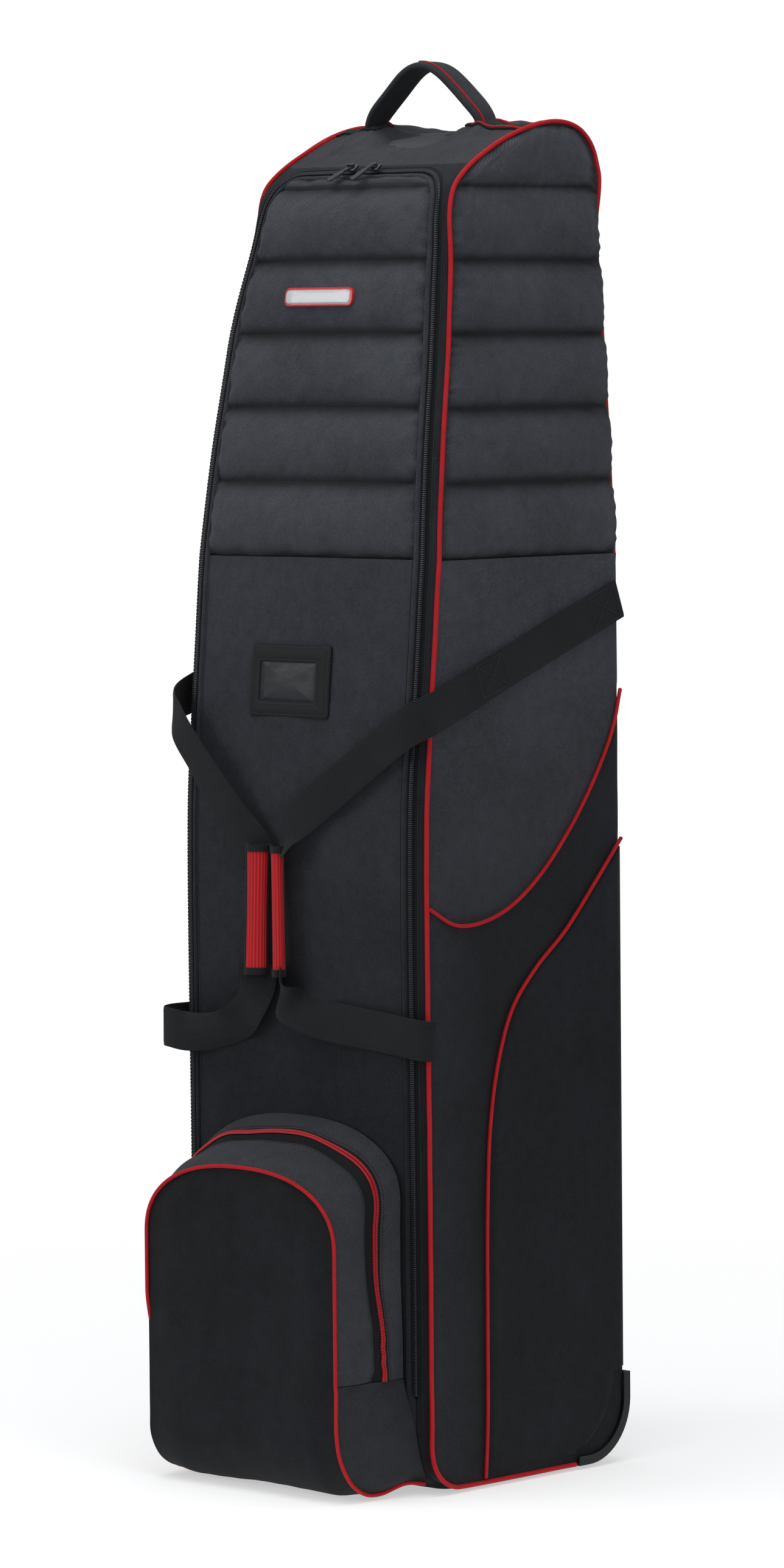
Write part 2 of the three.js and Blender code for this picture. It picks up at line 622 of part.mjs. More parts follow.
function pipings() {
  const start = 2;
  const end = sBack(HOUSING_BACK_Z + 3);
  const arcEnd = HINGE_S + (FRONT_CORNER_R * Math.PI) / 2;
  const stations = [start, ...steps(HINGE_S, arcEnd, 7), ...steps(sFront(640), sFront(1190), 12),
    ...steps(sFront(1205), sBack(1245), 26), end];
  const points = stations.map((s) => {
    const p = outlinePoint(s);
    const n = outlineNormal(s);
    const out = PIPING_R + 2 * GAP;
    return new THREE.Vector3(halfWidth(p.y), p.x + n.x * out, p.y + n.y * out);
  });
  addPair('side_piping', cord(points, PIPING_R), RED);

  const x = SIDE_DECOR_X + THIN_PIPING_R;
  const lower = smooth(LOWER_SWOOSH.map(onSide(x)), 28);
  addPair('lower_swoosh_piping', cord(lower, THIN_PIPING_R), RED);
  const upper = smooth(UPPER_SWOOSH.map(onSide(x)), 24);
  addPair('upper_swoosh_piping', cord(upper, THIN_PIPING_R), RED);

  const clear = THIN_PIPING_R + 2 * GAP;
  const edge = new THREE.SplineCurve(LOWER_SWOOSH.map(([y, z]) => new THREE.Vector2(
    y + clear + 0.6, z - clear * 0.6)));
  const wing = new THREE.Shape(edge.getPoints(26).filter((p) => p.x < 133 && p.y > 14));
  const flangeInner = BACK_CORNER_R - HOUSING_FLANGE - 2;
  const cornerY = BACK_Y - BACK_CORNER_R;
  const cornerZ = FLOOR_GAP + BACK_CORNER_R;
  wing.lineTo(133, HOUSING_BACK_Z + 3);
  wing.lineTo(cornerY + flangeInner, HOUSING_BACK_Z + 3);
  wing.absarc(cornerY, cornerZ, flangeInner, 0, -Math.PI / 2, true);
  wing.lineTo(HOUSING_BOTTOM_Y - 3, cornerZ - flangeInner);
  wing.lineTo(HOUSING_BOTTOM_Y - 3, 14);
  const plate = new THREE.ExtrudeGeometry(wing, { depth: 1.6, bevelEnabled: false });
  plate.rotateX(Math.PI / 2).rotateZ(Math.PI / 2).translate(SIDE_DECOR_X, 0, 0);
  addPair('wing_panel', plate, FABRIC);
}

// ---------------------------------------------------------------- carry straps and grips
const FRONT_FACE = new THREE.Vector3(0, -1, 0);
const SIDE_FACE = new THREE.Vector3(1, 0, 0);

function straps() {
  const anchorX = HALF_WIDTH + GAP + WEBBING_T / 2;
  const anchor = [[129, 838], [60, 812], [-20, 782], [-85, 758], [-122, 743.5]]
    .map(([y, z]) => ({ at: new THREE.Vector3(anchorX, y, z), face: SIDE_FACE }));
  addPair('strap_anchor', webbing(anchor, 6), BLACK_WEB);

  const front = (x, y, z) => ({ at: new THREE.Vector3(x, y, z), face: FRONT_FACE });
  const rightUpper = [front(159, STRAP_Y, 729), front(105, STRAP_Y, 700), front(61, STRAP_Y, 669),
    front(24, STRAP_Y - 1, 641), front(-2, STRAP_Y - 4, 622)];
  const rightLower = [front(160, STRAP_Y, 434), front(104, STRAP_Y, 440), front(55, STRAP_Y, 446),
    front(16, STRAP_Y - 1, 453), front(-4, STRAP_Y - 4, 468)];
  const leftUpper = [front(-159, STRAP_Y, 722), front(-126, STRAP_Y, 688),
    front(-94, STRAP_Y, 656), front(-68, STRAP_Y - 1, 632), front(-52, STRAP_Y - 4, 620)];
  const leftLower = [front(-160, STRAP_Y, 431), front(-120, STRAP_Y, 436),
    front(-84, STRAP_Y, 445), front(-58, STRAP_Y - 1, 456), front(-44, STRAP_Y - 4, 470)];
  add('strap_upper_right', webbing(rightUpper, 8), BLACK_WEB);
  add('strap_lower_right', webbing(rightLower, 8), BLACK_WEB);
  add('strap_upper_left', webbing(leftUpper, 8), BLACK_WEB);
  add('strap_lower_left', webbing(leftLower, 8), BLACK_WEB);

  const grip = (x) => {
    const shape = new THREE.Shape();
    shape.absellipse(0, 0, 15, 7, 0, Math.PI * 2, false, 0);
    const body = new THREE.ExtrudeGeometry(shape, { depth: GRIP_L, bevelEnabled: false,
      curveSegments: 10 });
    return body.translate(x, STRAP_Y - 14, 493);
  };
  add('grip_right', grip(-1), RED_PAD);
  add('grip_left', grip(-42), RED_PAD);
}

// ---------------------------------------------------------------- top handle
function handle() {
  const bow = [[-HANDLE_LEG_X, HANDLE_LEG_Z], [-HANDLE_LEG_X + 4, 1322], [-46, 1342],
    [0, HANDLE_APEX_Z], [46, 1342], [HANDLE_LEG_X - 4, 1322], [HANDLE_LEG_X, HANDLE_LEG_Z]];
  const path = new THREE.CatmullRomCurve3(bow.map(([x, z]) => new THREE.Vector3(x, HANDLE_Y, z)));
  const halfThick = 4.5;
  const halfAcross = (t) => {
    const fromEnd = Math.min(t, 1 - t);
    return THREE.MathUtils.lerp(6, 14, THREE.MathUtils.smoothstep(fromEnd, 0, 0.2));
  };
  const stations = steps(0, 1, 24);
  const ring = steps(0, Math.PI * 2, 12).slice(0, 12);
  const frame = (t) => {
    const along = path.getTangent(t);
    return new THREE.Vector3(-along.z, 0, along.x);
  };
  const positions = [];
  for (const t of stations) {
    for (const a of ring) {
      const p = path.getPoint(t).addScaledVector(frame(t), halfThick * Math.cos(a));
      positions.push(p.x, p.y + halfAcross(t) * Math.sin(a), p.z);
    }
  }
  const triangles = [];
  const n = ring.length;
  for (let j = 0; j < stations.length - 1; j += 1) {
    for (let i = 0; i < n; i += 1) {
      const [a, b] = [j * n + i, j * n + ((i + 1) % n)];
      triangles.push(a, b, b + n, a, b + n, a + n);
    }
  }
  const last = (stations.length - 1) * n;
  for (let i = 1; i < n - 1; i += 1) {
    triangles.push(0, i + 1, i, last, last + i, last + i + 1);
  }
  add('handle_grip', closedGeometry(positions, triangles), FABRIC);

  // The base strap crosses the top panel between the two side seams.
  const strapS = findAlong(TOP_S - 200, TOP_S, (p) => p.x >= HANDLE_Y - 2);
  const reach = halfWidth(outlinePoint(strapS).y) - PAD;
  const at = (h) => (x, v) => surface(x, strapS + v * 14, h);
  add('handle_base_strap', slab(steps(-reach, reach, 4), [-1, 0, 1], at(2.4), at(GAP)), BLACK_WEB);
}

// ---------------------------------------------------------------- wheels, housings and skid
function housing() {
  const stations = steps(sBack(HOUSING_BACK_Z), OUTLINE_LENGTH - 0.5, 20);
  const edge = (s, h) => {
    const p = outlinePoint(s);
    const n = outlineNormal(s);
    return [p.x + n.x * h, p.y + n.y * h];
  };
  const [under, over] = [0.5, 3];
  const strip = slab([HOUSING_IN_X, HOUSING_OUT_X], stations,
    (x, s) => new THREE.Vector3(x, ...edge(s, over)),
    (x, s) => new THREE.Vector3(x, ...edge(s, under)));
  const flange = slab([over, -HOUSING_FLANGE], stations,
    (h, s) => new THREE.Vector3(HOUSING_OUT_X, ...edge(s, h)),
    (h, s) => new THREE.Vector3(HALF_WIDTH + GAP, ...edge(s, h)));
  const region = new THREE.Shape([...stations.map((s) => new THREE.Vector2(...edge(s, over))),
    new THREE.Vector2(HOUSING_BOTTOM_Y, HOUSING_BACK_Z)]);
  const [wellIn, wellOut] = [WHEEL_X - WELL_HALF_W, WHEEL_X + WELL_HALF_W];
  const corner = new THREE.ExtrudeGeometry(region, { depth: wellOut - wellIn + 2 * WELL_WALL,
    bevelEnabled: false });
  corner.rotateX(Math.PI / 2).rotateZ(Math.PI / 2).translate(wellIn - WELL_WALL, 0, 0);
  const drum = toSolid(axial(WELL_R + WELL_WALL, wellIn - WELL_WALL, wellOut + WELL_WALL, 32));
  const hollow = toSolid(axial(WELL_R, wellIn, wellOut, 32));
  const bore = toSolid(axial(AXLE_R + GAP, wellIn - 10, wellOut + 8, 16));
  const solid = drum.intersect(toSolid(corner)).add(toSolid(strip)).add(toSolid(flange))
    .subtract(hollow).subtract(bore);
  return toGeometry(solid);
}

function lathe(profile, sides) {
  const points = [...profile, profile[0]].map(([r, x]) => new THREE.Vector2(r, x));
  const ring = new THREE.LatheGeometry(points, sides);
  return ring.rotateZ(-Math.PI / 2).translate(WHEEL_X, WHEEL_Y, WHEEL_R);
}

function wheels() {
  addPair('wheel_housing', housing(), PLASTIC);
  const half = WHEEL_W / 2;
  const bore = HUB_R + GAP;
  const tyre = [[bore, -half + 2], [WHEEL_R - 8, -half], [WHEEL_R - 2.5, -half + 3],
    [WHEEL_R, -half + 8], [WHEEL_R, half - 8], [WHEEL_R - 2.5, half - 3], [WHEEL_R - 8, half],
    [bore, half - 2]];
  addPair('tyre', lathe(tyre, 40), TYRE);
  const hubBore = AXLE_R + GAP;
  const hub = [[hubBore, -half], [9, -half], [10, -half + 5], [HUB_R, -half + 3],
    [HUB_R, half - 3], [10, half - 5], [9, half], [hubBore, half]];
  addPair('hub', lathe(hub, 24), PLASTIC);
  addPair('axle', axial(AXLE_R, WHEEL_X - WELL_HALF_W - 7, WHEEL_X + WELL_HALF_W + 6, 16), STEEL);
}

// A moulded skid under the front half takes the weight together with the wheels.
function baseSkid() {
  const skid = new THREE.Shape();
  const [half, front, back, corner] = [SKID_HALF_WIDTH, SKID_FRONT_Y, SKID_BACK_Y, 14];
  skid.moveTo(-half + corner, front);
  skid.lineTo(half - corner, front);
  skid.absarc(half - corner, front + corner, corner, -Math.PI / 2, 0, false);
  skid.lineTo(half, back);
  skid.lineTo(-half, back);
  skid.absarc(-half + corner, front + corner, corner, Math.PI, Math.PI * 1.5, false);
  const plate = new THREE.ExtrudeGeometry(skid, { depth: FLOOR_GAP - GAP, bevelEnabled: false,
    curveSegments: 5 });
  add('base_skid', plate, PLASTIC);
}

// ---------------------------------------------------------------- inside: cinch strap and buckle
function cinch() {
  const [z0, z1] = [780, 780 + WEBBING_W];
  const backFace = BACK_Y - SKIN - GAP;
  add('cinch_strap', box(-140, 140, backFace - WEBBING_T, backFace, z0, z1), BLACK_WEB);
  const front = backFace - WEBBING_T - GAP;
  const [low, high] = [z0 - 4, z1 + 4];
  const shell = toSolid(box(-34, 0, front - 9, front, low, high));
  const mouth = toSolid(box(-24, 4, front - 7, front - 2, low + 6, high - 6));
  add('buckle_socket', toGeometry(shell.subtract(mouth)), PLASTIC);
  const bar = toSolid(box(GAP, 22, front - 9, front, low, high));
  const tongue = toSolid(box(-22, 4, front - 6.4, front - 2.6, low + 7, high - 7));
  add('buckle_tongue', toGeometry(bar.add(tongue)), PLASTIC);
}

bodyPanels();
add('zip_gusset', zipGusset(), FABRIC);
add('zip_coil', zipCoil(), BLACK_WEB);
doorPanels();
doorFittings();
zipHardware();
pocket();
pipings();
straps();
handle();
wheels();
baseSkid();
cinch();

export default group;
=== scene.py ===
"""Looks of the golf travel case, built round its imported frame.

Shapes are worked out in millimetres on the body's outline, which is read from the frame, and are
turned into metres when a mesh is made. x is across; s is the distance along the outline, from
under the body, up the front, over the top and down the back; h is the height above it."""

import json
import math

import bmesh
import bpy
import numpy as np
from mathutils import Matrix, Vector


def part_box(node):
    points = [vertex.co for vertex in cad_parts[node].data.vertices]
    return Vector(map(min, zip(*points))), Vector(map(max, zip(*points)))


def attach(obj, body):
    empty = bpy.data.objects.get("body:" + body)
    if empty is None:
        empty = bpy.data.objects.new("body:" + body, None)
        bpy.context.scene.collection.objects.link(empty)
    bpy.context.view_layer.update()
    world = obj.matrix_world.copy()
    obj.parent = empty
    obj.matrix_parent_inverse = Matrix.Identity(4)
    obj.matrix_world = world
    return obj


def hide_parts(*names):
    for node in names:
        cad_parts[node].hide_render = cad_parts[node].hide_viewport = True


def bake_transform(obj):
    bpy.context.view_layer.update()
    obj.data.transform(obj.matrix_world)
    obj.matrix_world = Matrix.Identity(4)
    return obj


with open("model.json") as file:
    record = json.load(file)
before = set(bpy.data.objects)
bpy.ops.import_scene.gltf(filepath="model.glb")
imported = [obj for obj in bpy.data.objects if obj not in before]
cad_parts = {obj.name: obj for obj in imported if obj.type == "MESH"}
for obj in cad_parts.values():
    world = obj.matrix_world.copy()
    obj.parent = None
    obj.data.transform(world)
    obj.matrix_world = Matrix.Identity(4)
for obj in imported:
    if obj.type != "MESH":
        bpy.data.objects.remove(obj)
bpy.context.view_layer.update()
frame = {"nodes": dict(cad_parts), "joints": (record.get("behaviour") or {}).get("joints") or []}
MM = 0.001
GAP = 0.4  # the frame's clearance between pieces
RIGHT, LEFT = 1, -1
SIDES = {"right": RIGHT, "left": LEFT}


# ------------------------------------------------------------------ small numeric helpers
def smoothstep(value, low, high):
    t = np.clip((np.asarray(value, float) - low) / (high - low), 0, 1)
    return t * t * (3 - 2 * t)


def unit(vectors):
    return vectors / np.maximum(np.linalg.norm(vectors, axis=-1, keepdims=True), 1e-9)


def catmull(points, per=10):
    """A centripetal Catmull-Rom curve through the points."""
    p = np.asarray(points, float)
    q = np.vstack([2 * p[0] - p[1], p, 2 * p[-1] - p[-2]])
    curve = []
    for p0, p1, p2, p3 in zip(q, q[1:], q[2:], q[3:]):
        t1 = np.linalg.norm(p1 - p0) ** 0.5
        t2 = t1 + np.linalg.norm(p2 - p1) ** 0.5
        t3 = t2 + np.linalg.norm(p3 - p2) ** 0.5
        t = np.linspace(t1, t2, per, endpoint=False)[:, None]
        a1 = (t1 - t) / t1 * p0 + t / t1 * p1
        a2 = ((t2 - t) * p1 + (t - t1) * p2) / (t2 - t1)
        a3 = ((t3 - t) * p2 + (t - t2) * p3) / (t3 - t2)
        b1 = ((t2 - t) * a1 + t * a2) / t2
        b2 = ((t3 - t) * a2 + (t - t1) * a3) / (t3 - t1)
        curve.append(((t2 - t) * b1 + (t - t1) * b2) / (t2 - t1))
    return np.vstack([*curve, p[-1:]])


def lengths(points):
    steps = np.linalg.norm(np.diff(points, axis=0), axis=1)
    return np.concatenate([[0], np.cumsum(steps)])


def evenly(points, spacing):
    """The same path with its points an even distance apart."""
    run = lengths(points)
    count = max(2, int(round(run[-1] / spacing)) + 1)
    at = np.linspace(0, run[-1], count)
    return np.stack([np.interp(at, run, column) for column in np.asarray(points).T], -1)


def tangents(path):
    return unit(np.gradient(path, axis=0))


def rumple(a, b, wavelength, seed):
    """Smooth random height between about -1 and 1 over two coordinates in millimetres."""
    draw = np.random.default_rng(seed)
    total = 0.0
    waves = 8
    for _ in range(waves):
        angle, phase = draw.uniform(0, 2 * math.pi, 2)
        turn = 2 * math.pi / (wavelength * draw.uniform(0.6, 1.6))
        total = total + np.sin(turn * (a * math.cos(angle) + b * math.sin(angle)) + phase)
    return total / waves**0.5 / 1.4


# ------------------------------------------------------------------ measures read from the frame
def node_points(node):
    data = frame["nodes"][node].data
    co = np.zeros(len(data.vertices) * 3)
    data.vertices.foreach_get("co", co)
    return co.reshape(-1, 3) / MM


def corner(node, high):
    return np.array(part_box(node)[1 if high else 0]) / MM


def joint_point(name):
    joint = next(j for j in frame["joints"] if j["name"] == name)
    return np.array(joint["pos_m"]) / MM


SHOULDER = corner("side_panel_right", True)[2]
HALF_WIDTH = corner("side_panel_right", True)[0]
FLOOR = corner("bottom_panel", False)[2]
HOUSING_FRONT = corner("wheel_housing_right", False)[1]
HOUSING_TOP = corner("wheel_housing_right", True)[2]
HINGE_Y = joint_point("door_hinge")[1]
COIL_R = 2.0
COIL_MARGIN = HALF_WIDTH - corner("zip_coil", True)[0] + COIL_R
DOOR_MARGIN = HALF_WIDTH - corner("door_panel", True)[0]
ZIP_END = corner("zip_coil", False)[2] + 1
COIL_BEND_R = 44.0
DOOR_EDGE_CROWN = 7.5
DOOR_MID_CROWN = 3.5


def read_outline():
    """The body's outline as dense (y, z) points, and its half width at each height."""
    points = np.vstack([node_points("side_panel_right"), node_points("side_pad_right")])
    front, back, widths = [], [], []
    for z in np.unique(points[:, 2].round(1)):
        if widths and z - widths[-1][0] < 1:
            continue
        level = points[abs(points[:, 2] - z) < 0.1]
        front.append((level[:, 1].min() - GAP, z))
        back.append((level[:, 1].max() + GAP, z))
        widths.append((z, level[:, 0].max()))
    top = corner("top_panel", True)[2]
    apex = ((front[-1][0] + back[-1][0]) / 2, top)
    start = (HOUSING_FRONT, FLOOR)
    run = [start, (HINGE_Y, FLOOR), *front, apex, *back[::-1], start]
    return evenly(catmull(run, 40), 1.0), np.array(widths)


OUTLINE, WIDTHS = read_outline()
S = lengths(OUTLINE)
OUTLINE_T = tangents(OUTLINE)
KERNEL = np.ones(9) / 9
OUTLINE_N = np.stack([np.convolve(np.pad(c, 4, "edge"), KERNEL, "valid")
                      for c in (-OUTLINE_T[:, 1], OUTLINE_T[:, 0])], -1)
OUTLINE_N = unit(OUTLINE_N)
APEX = int(OUTLINE[:, 1].argmax())
LOW = int(np.argmax(OUTLINE[:, 0] < HINGE_Y))


def half_width(z):
    return np.interp(z, WIDTHS[:, 0], WIDTHS[:, 1])


def s_front(z):
    return np.interp(z, OUTLINE[LOW:APEX, 1], S[LOW:APEX])


def s_back(z):
    return np.interp(z, OUTLINE[:APEX:-1, 1], S[:APEX:-1])


def front_y(z):
    return np.interp(s_front(z), S, OUTLINE[:, 0])


def back_y(z):
    return np.interp(s_back(z), S, OUTLINE[:, 0])


def outline_z(s):
    return np.interp(s, S, OUTLINE[:, 1])


HINGE_S = S[LOW]
TOP_S = S[APEX]
PULL = joint_point("zip_pull_left_hinge")
COIL_TOP_S = S[np.argmin(np.linalg.norm(OUTLINE - PULL[1:], axis=1))]
COIL_TOP_Z = outline_z(COIL_TOP_S)
BEND_S = COIL_TOP_S - COIL_BEND_R
PAD_TOP_S = COIL_TOP_S - (DOOR_MARGIN - COIL_MARGIN)
REAR_PAD_TOP = 1240.0


def crown(x, z, s):
    """How far the front bulges: up from the body's corners to the door's edge, then its middle."""
    near = smoothstep(z, FLOOR, 70) * (1 - smoothstep(z, 1120, COIL_TOP_Z)) * (s < TOP_S)
    edge = half_width(z) - DOOR_MARGIN
    outside = DOOR_EDGE_CROWN * np.maximum(0, half_width(z) - abs(x)) / DOOR_MARGIN
    inside = DOOR_EDGE_CROWN + DOOR_MID_CROWN * (1 - (x / edge) ** 2)
    return near * np.where(abs(x) > edge, outside, inside)


def surface(x, s, h=0.0):
    """Points at x, distance s along the outline and height h above the body."""
    x, s, h = np.broadcast_arrays(np.asarray(x, float), s, h)
    y, z = (np.interp(s, S, OUTLINE[:, k]) for k in (0, 1))
    ny, nz = (np.interp(s, S, OUTLINE_N[:, k]) for k in (0, 1))
    out = crown(x, z, s) + h
    return np.stack([x, y + ny * out, z + nz * out], -1)


def surface_normal(s):
    ny, nz = (np.interp(s, S, OUTLINE_N[:, k]) for k in (0, 1))
    return unit(np.stack([np.zeros_like(ny), ny, nz], -1))


REAR_TURN = 9.0  # radius of the rear corners below the head end
REAR_SEAM = 10.0  # from there the rear piping runs this far in on the back
FRONT_TURN = 10.4  # radius of the left front corner, which leans out
FRONT_SEAM = 13.5


def front_seam(z, sign):
    """How far back from the front corner a side begins."""
    return FRONT_SEAM * turned(z) if sign < 0 else 0.0 * z


def turned(z):
    """1 where the corners are turned over, 0 near the top where the piping is on the corner."""
    return 1 - smoothstep(z, 1185, 1245)


def side_point(y_run, z, out):
    """A point on the right side at a run from the front; the side turns in at its rear edge."""
    radius = REAR_TURN * turned(z)
    limit = back_y(z) - radius
    angle = np.clip((y_run - limit) / np.maximum(radius, 1e-6), 0, math.pi / 2) * (radius > 0.05)
    base = half_width(z) - radius
    reach = radius + out
    x = base + reach * np.cos(angle)
    y = np.where(angle > 0, limit + reach * np.sin(angle), y_run)
    return np.stack([x, y, z], -1)


def side_run(z):
    """The run at which the side ends at the rear."""
    return back_y(z) + REAR_TURN * turned(z) * (math.pi / 2 - 1)


def back_half(z):
    return half_width(z) - 0.4 - (REAR_TURN - 0.9) * turned(z)


def door_half(s):
    """Half the door's width, with its rounded upper corners."""
    z = outline_z(s)
    up = np.clip(s - BEND_S, 0, None)
    radius = COIL_BEND_R - (DOOR_MARGIN - COIL_MARGIN)
    bend = half_width(z) - COIL_MARGIN - COIL_BEND_R + np.sqrt(np.maximum(0, radius**2 - up**2))
    return np.where(up > 0, bend, half_width(z) - DOOR_MARGIN)


# ------------------------------------------------------------------ node materials
class Shader:
    """A node material while it is being wired."""

    def __init__(self, name, roughness, **surface_inputs):
        self.material = bpy.data.materials.new(name)
        self.material.use_nodes = True
        self.tree = self.material.node_tree
        self.surface = self.tree.nodes["Principled BSDF"]
        self.coordinates = self.node("ShaderNodeTexCoord").outputs
        self.set(Roughness=roughness, **surface_inputs)

    def node(self, kind, inputs=None, **settings):
        made = self.tree.nodes.new(kind)
        for key, value in settings.items():
            setattr(made, key, value)
        for key, value in (inputs or {}).items():
            self.feed(made.inputs[key], value)
        return made

    def feed(self, socket, value):
        if isinstance(value, bpy.types.NodeSocket):
            self.tree.links.new(value, socket)
        else:
            socket.default_value = value

    def set(self, **inputs):
        for key, value in inputs.items():
            self.feed(self.surface.inputs[key.replace("_", " ")], value)

    def math(self, operation, *values):
        made = self.node("ShaderNodeMath", operation=operation)
        for socket, value in zip(made.inputs, values):
            self.feed(socket, value)
        return made.outputs[0]

    def noise(self, scale, detail=2.0, space="Object", roughness=0.5, stretch=None):
        vector = self.coordinates[space]
        if stretch:
            vector = self.node("ShaderNodeVectorMath", {0: vector, 1: stretch},
                               operation="MULTIPLY").outputs[0]
        made = self.node("ShaderNodeTexNoise", {"Vector": vector, "Scale": scale,
                                                "Detail": detail, "Roughness": roughness})
        return made.outputs["Fac"]

    def range(self, value, low, high, to_low=0.0, to_high=1.0):
        made = self.node("ShaderNodeMapRange", {"Value": value, "From Min": low, "From Max": high,
                                                "To Min": to_low, "To Max": to_high})
        return made.outputs["Result"]

    def mix(self, factor, first, second):
        made = self.node("ShaderNodeMix", data_type="RGBA")
        for index, value in ((0, factor), (6, first), (7, second)):
            self.feed(made.inputs[index], value)
        return made.outputs[2]

    def uv(self):
        split = self.node("ShaderNodeSeparateXYZ", {0: self.coordinates["UV"]}).outputs
        return split[0], split[1]

    def height_above_floor(self):
        return self.node("ShaderNodeSeparateXYZ", {0: self.coordinates["Object"]}).outputs[2]

    def wave(self, value, pitch_mm):
        """A wave from -1 to 1 that repeats every pitch of a length in metres."""
        return self.math("SINE", self.math("MULTIPLY", value, 2 * math.pi / (pitch_mm * MM)))

    def bump(self, height, distance_mm, strength=1.0):
        made = self.node("ShaderNodeBump", {"Height": height, "Strength": strength,
                                            "Distance": distance_mm * MM})
        earlier = self.surface.inputs["Normal"].links
        if earlier:
            self.feed(made.inputs["Normal"], earlier[0].from_socket)
        self.set(Normal=made.outputs[0])


def grey(value, blue=1.0):
    """A linear colour from a screen brightness between 0 and 255, a little blue."""
    shade = ((value / 255 + 0.055) / 1.055) ** 2.4
    return (shade * 0.90, shade * 0.97, shade * (1 + 0.18 * blue), 1)


PLAIN_PITCH = 0.9
DOBBY_PITCH = 2.7


def diamond(shader, pitch_mm):
    """The dobby weave: small raised diamonds in offset rows, from 0 to 1."""
    u, v = shader.uv()
    v = shader.math("MULTIPLY", v, 1.15)
    one = shader.wave(shader.math("ADD", u, v), pitch_mm * 2)
    two = shader.wave(shader.math("SUBTRACT", u, v), pitch_mm * 2)
    return shader.math("ABSOLUTE", shader.math("MULTIPLY", one, two))


def plain_weave(shader, pitch_mm):
    u, v = shader.uv()
    return shader.math("MULTIPLY", shader.wave(u, pitch_mm), shader.wave(v, pitch_mm))


def cloth_colour(shader, low, high, weave, contrast):
    """Cloth with its weave, flecks and broad uneven patches; painted shade darkens it near the
    floor.
    """
    # painted shade: the colour runs from low near the floor to high further up, standing in for the
    # overhead light
    rise = shader.range(shader.height_above_floor(), 0.4, 0.92)
    base = shader.mix(rise, grey(low), grey(high))
    fleck = shader.range(shader.noise(750, 2.0), 0.3, 0.7, -0.5, 0.5)
    mottle = shader.range(shader.noise(75, 3.0, roughness=0.65), 0.3, 0.7, -0.5, 0.5)
    patch = shader.range(shader.noise(11, 4.0, roughness=0.6), 0.3, 0.7, -0.5, 0.5)
    tone = shader.math("MULTIPLY_ADD", weave, contrast, 1 - contrast / 2)
    tone = shader.math("MULTIPLY_ADD", fleck, 0.45, tone)
    tone = shader.math("MULTIPLY_ADD", mottle, 0.24, tone)
    tone = shader.math("MULTIPLY_ADD", patch, 0.3, tone)
    made = shader.node("ShaderNodeVectorMath", {0: base}, operation="SCALE")
    shader.feed(made.inputs["Scale"], tone)
    return made.outputs[0]


def plain_cloth(name, low, high):
    shader = Shader(name, 0.9, Sheen_Weight=0.03, Sheen_Roughness=0.5, Specular_IOR_Level=0.12)
    weave = plain_weave(shader, PLAIN_PITCH)
    shader.set(Base_Color=cloth_colour(shader, low, high, weave, 0.16))
    shader.bump(weave, 0.12, 0.6)
    shader.bump(shader.noise(120, 3.0), 0.5, 0.25)
    return shader.material


def dobby_cloth(name, low, high, pitch=DOBBY_PITCH, contrast=0.7):
    shader = Shader(name, 0.7, Sheen_Weight=0.03, Sheen_Roughness=0.5, Specular_IOR_Level=0.22)
    weave = diamond(shader, pitch)
    colour = cloth_colour(shader, low, high, weave, contrast)
    # painted shade: the cloth darkens towards near black in the quilting's grooves, where the
    # pillows shade them
    groove_shade = shader.node("ShaderNodeAttribute", attribute_name="groove_shade").outputs["Fac"]
    shader.set(Base_Color=shader.mix(shader.math("MULTIPLY", groove_shade, 0.8), colour, grey(14)))
    shader.set(Roughness=shader.range(weave, 0, 1, 0.85, 0.6))
    shader.bump(weave, 0.3, 0.8)
    shader.bump(shader.noise(110, 3.0), 0.6, 0.3)
    return shader.material


def side_cloth():
    """The side panel: plain cloth above the upper seam, dobby below and in front of it."""
    shader = Shader("side_cloth", 0.85, Sheen_Weight=0.03, Sheen_Roughness=0.5,
                    Specular_IOR_Level=0.15)
    below = shader.node("ShaderNodeAttribute", attribute_name="below_upper_seam").outputs["Fac"]
    mask = shader.range(below, -0.6, 0.6)
    plain = plain_weave(shader, PLAIN_PITCH)
    dobby = diamond(shader, DOBBY_PITCH)
    upper = cloth_colour(shader, 38, 68, plain, 0.16)
    lower = cloth_colour(shader, 27, 38, dobby, 0.8)
    # painted highlight: below the seam the cloth is up to 1.55 times lighter towards the front of
    # the side and 0.9 times at the back, where the light catches the dobby's sheen
    back = shader.node("ShaderNodeSeparateXYZ", {0: shader.coordinates["Object"]}).outputs[1]
    painted_sheen = shader.node("ShaderNodeVectorMath", {0: lower}, operation="SCALE")
    shader.feed(painted_sheen.inputs["Scale"], shader.range(back, -0.13, -0.05, 1.55, 0.9))
    lower = painted_sheen.outputs[0]
    shader.set(Base_Color=shader.mix(mask, upper, lower))
    weave = shader.node("ShaderNodeMix", {0: mask, 2: plain, 3: dobby}).outputs[0]
    shader.bump(weave, 0.25, 0.6)
    shader.bump(shader.noise(110, 3.0), 0.5, 0.25)
    return shader.material


def red_cord(name="piping_red"):
    """Woven cover of a piping: fine ribs round the cord, u running along it."""
    shader = Shader(name, 0.6, Specular_IOR_Level=0.2)
    u, v = shader.uv()
    rib = shader.wave(shader.math("ADD", u, shader.math("MULTIPLY", v, 0.35)), 1.1)
    fade = shader.range(shader.noise(60, 3.0), 0.3, 0.7)
    worn = shader.mix(fade, (0.46, 0.006, 0.012, 1), (0.58, 0.010, 0.018, 1))
    shader.set(Base_Color=shader.mix(shader.range(rib, -1, 1), (0.34, 0.004, 0.008, 1), worn))
    shader.bump(rib, 0.25, 0.7)
    return shader.material


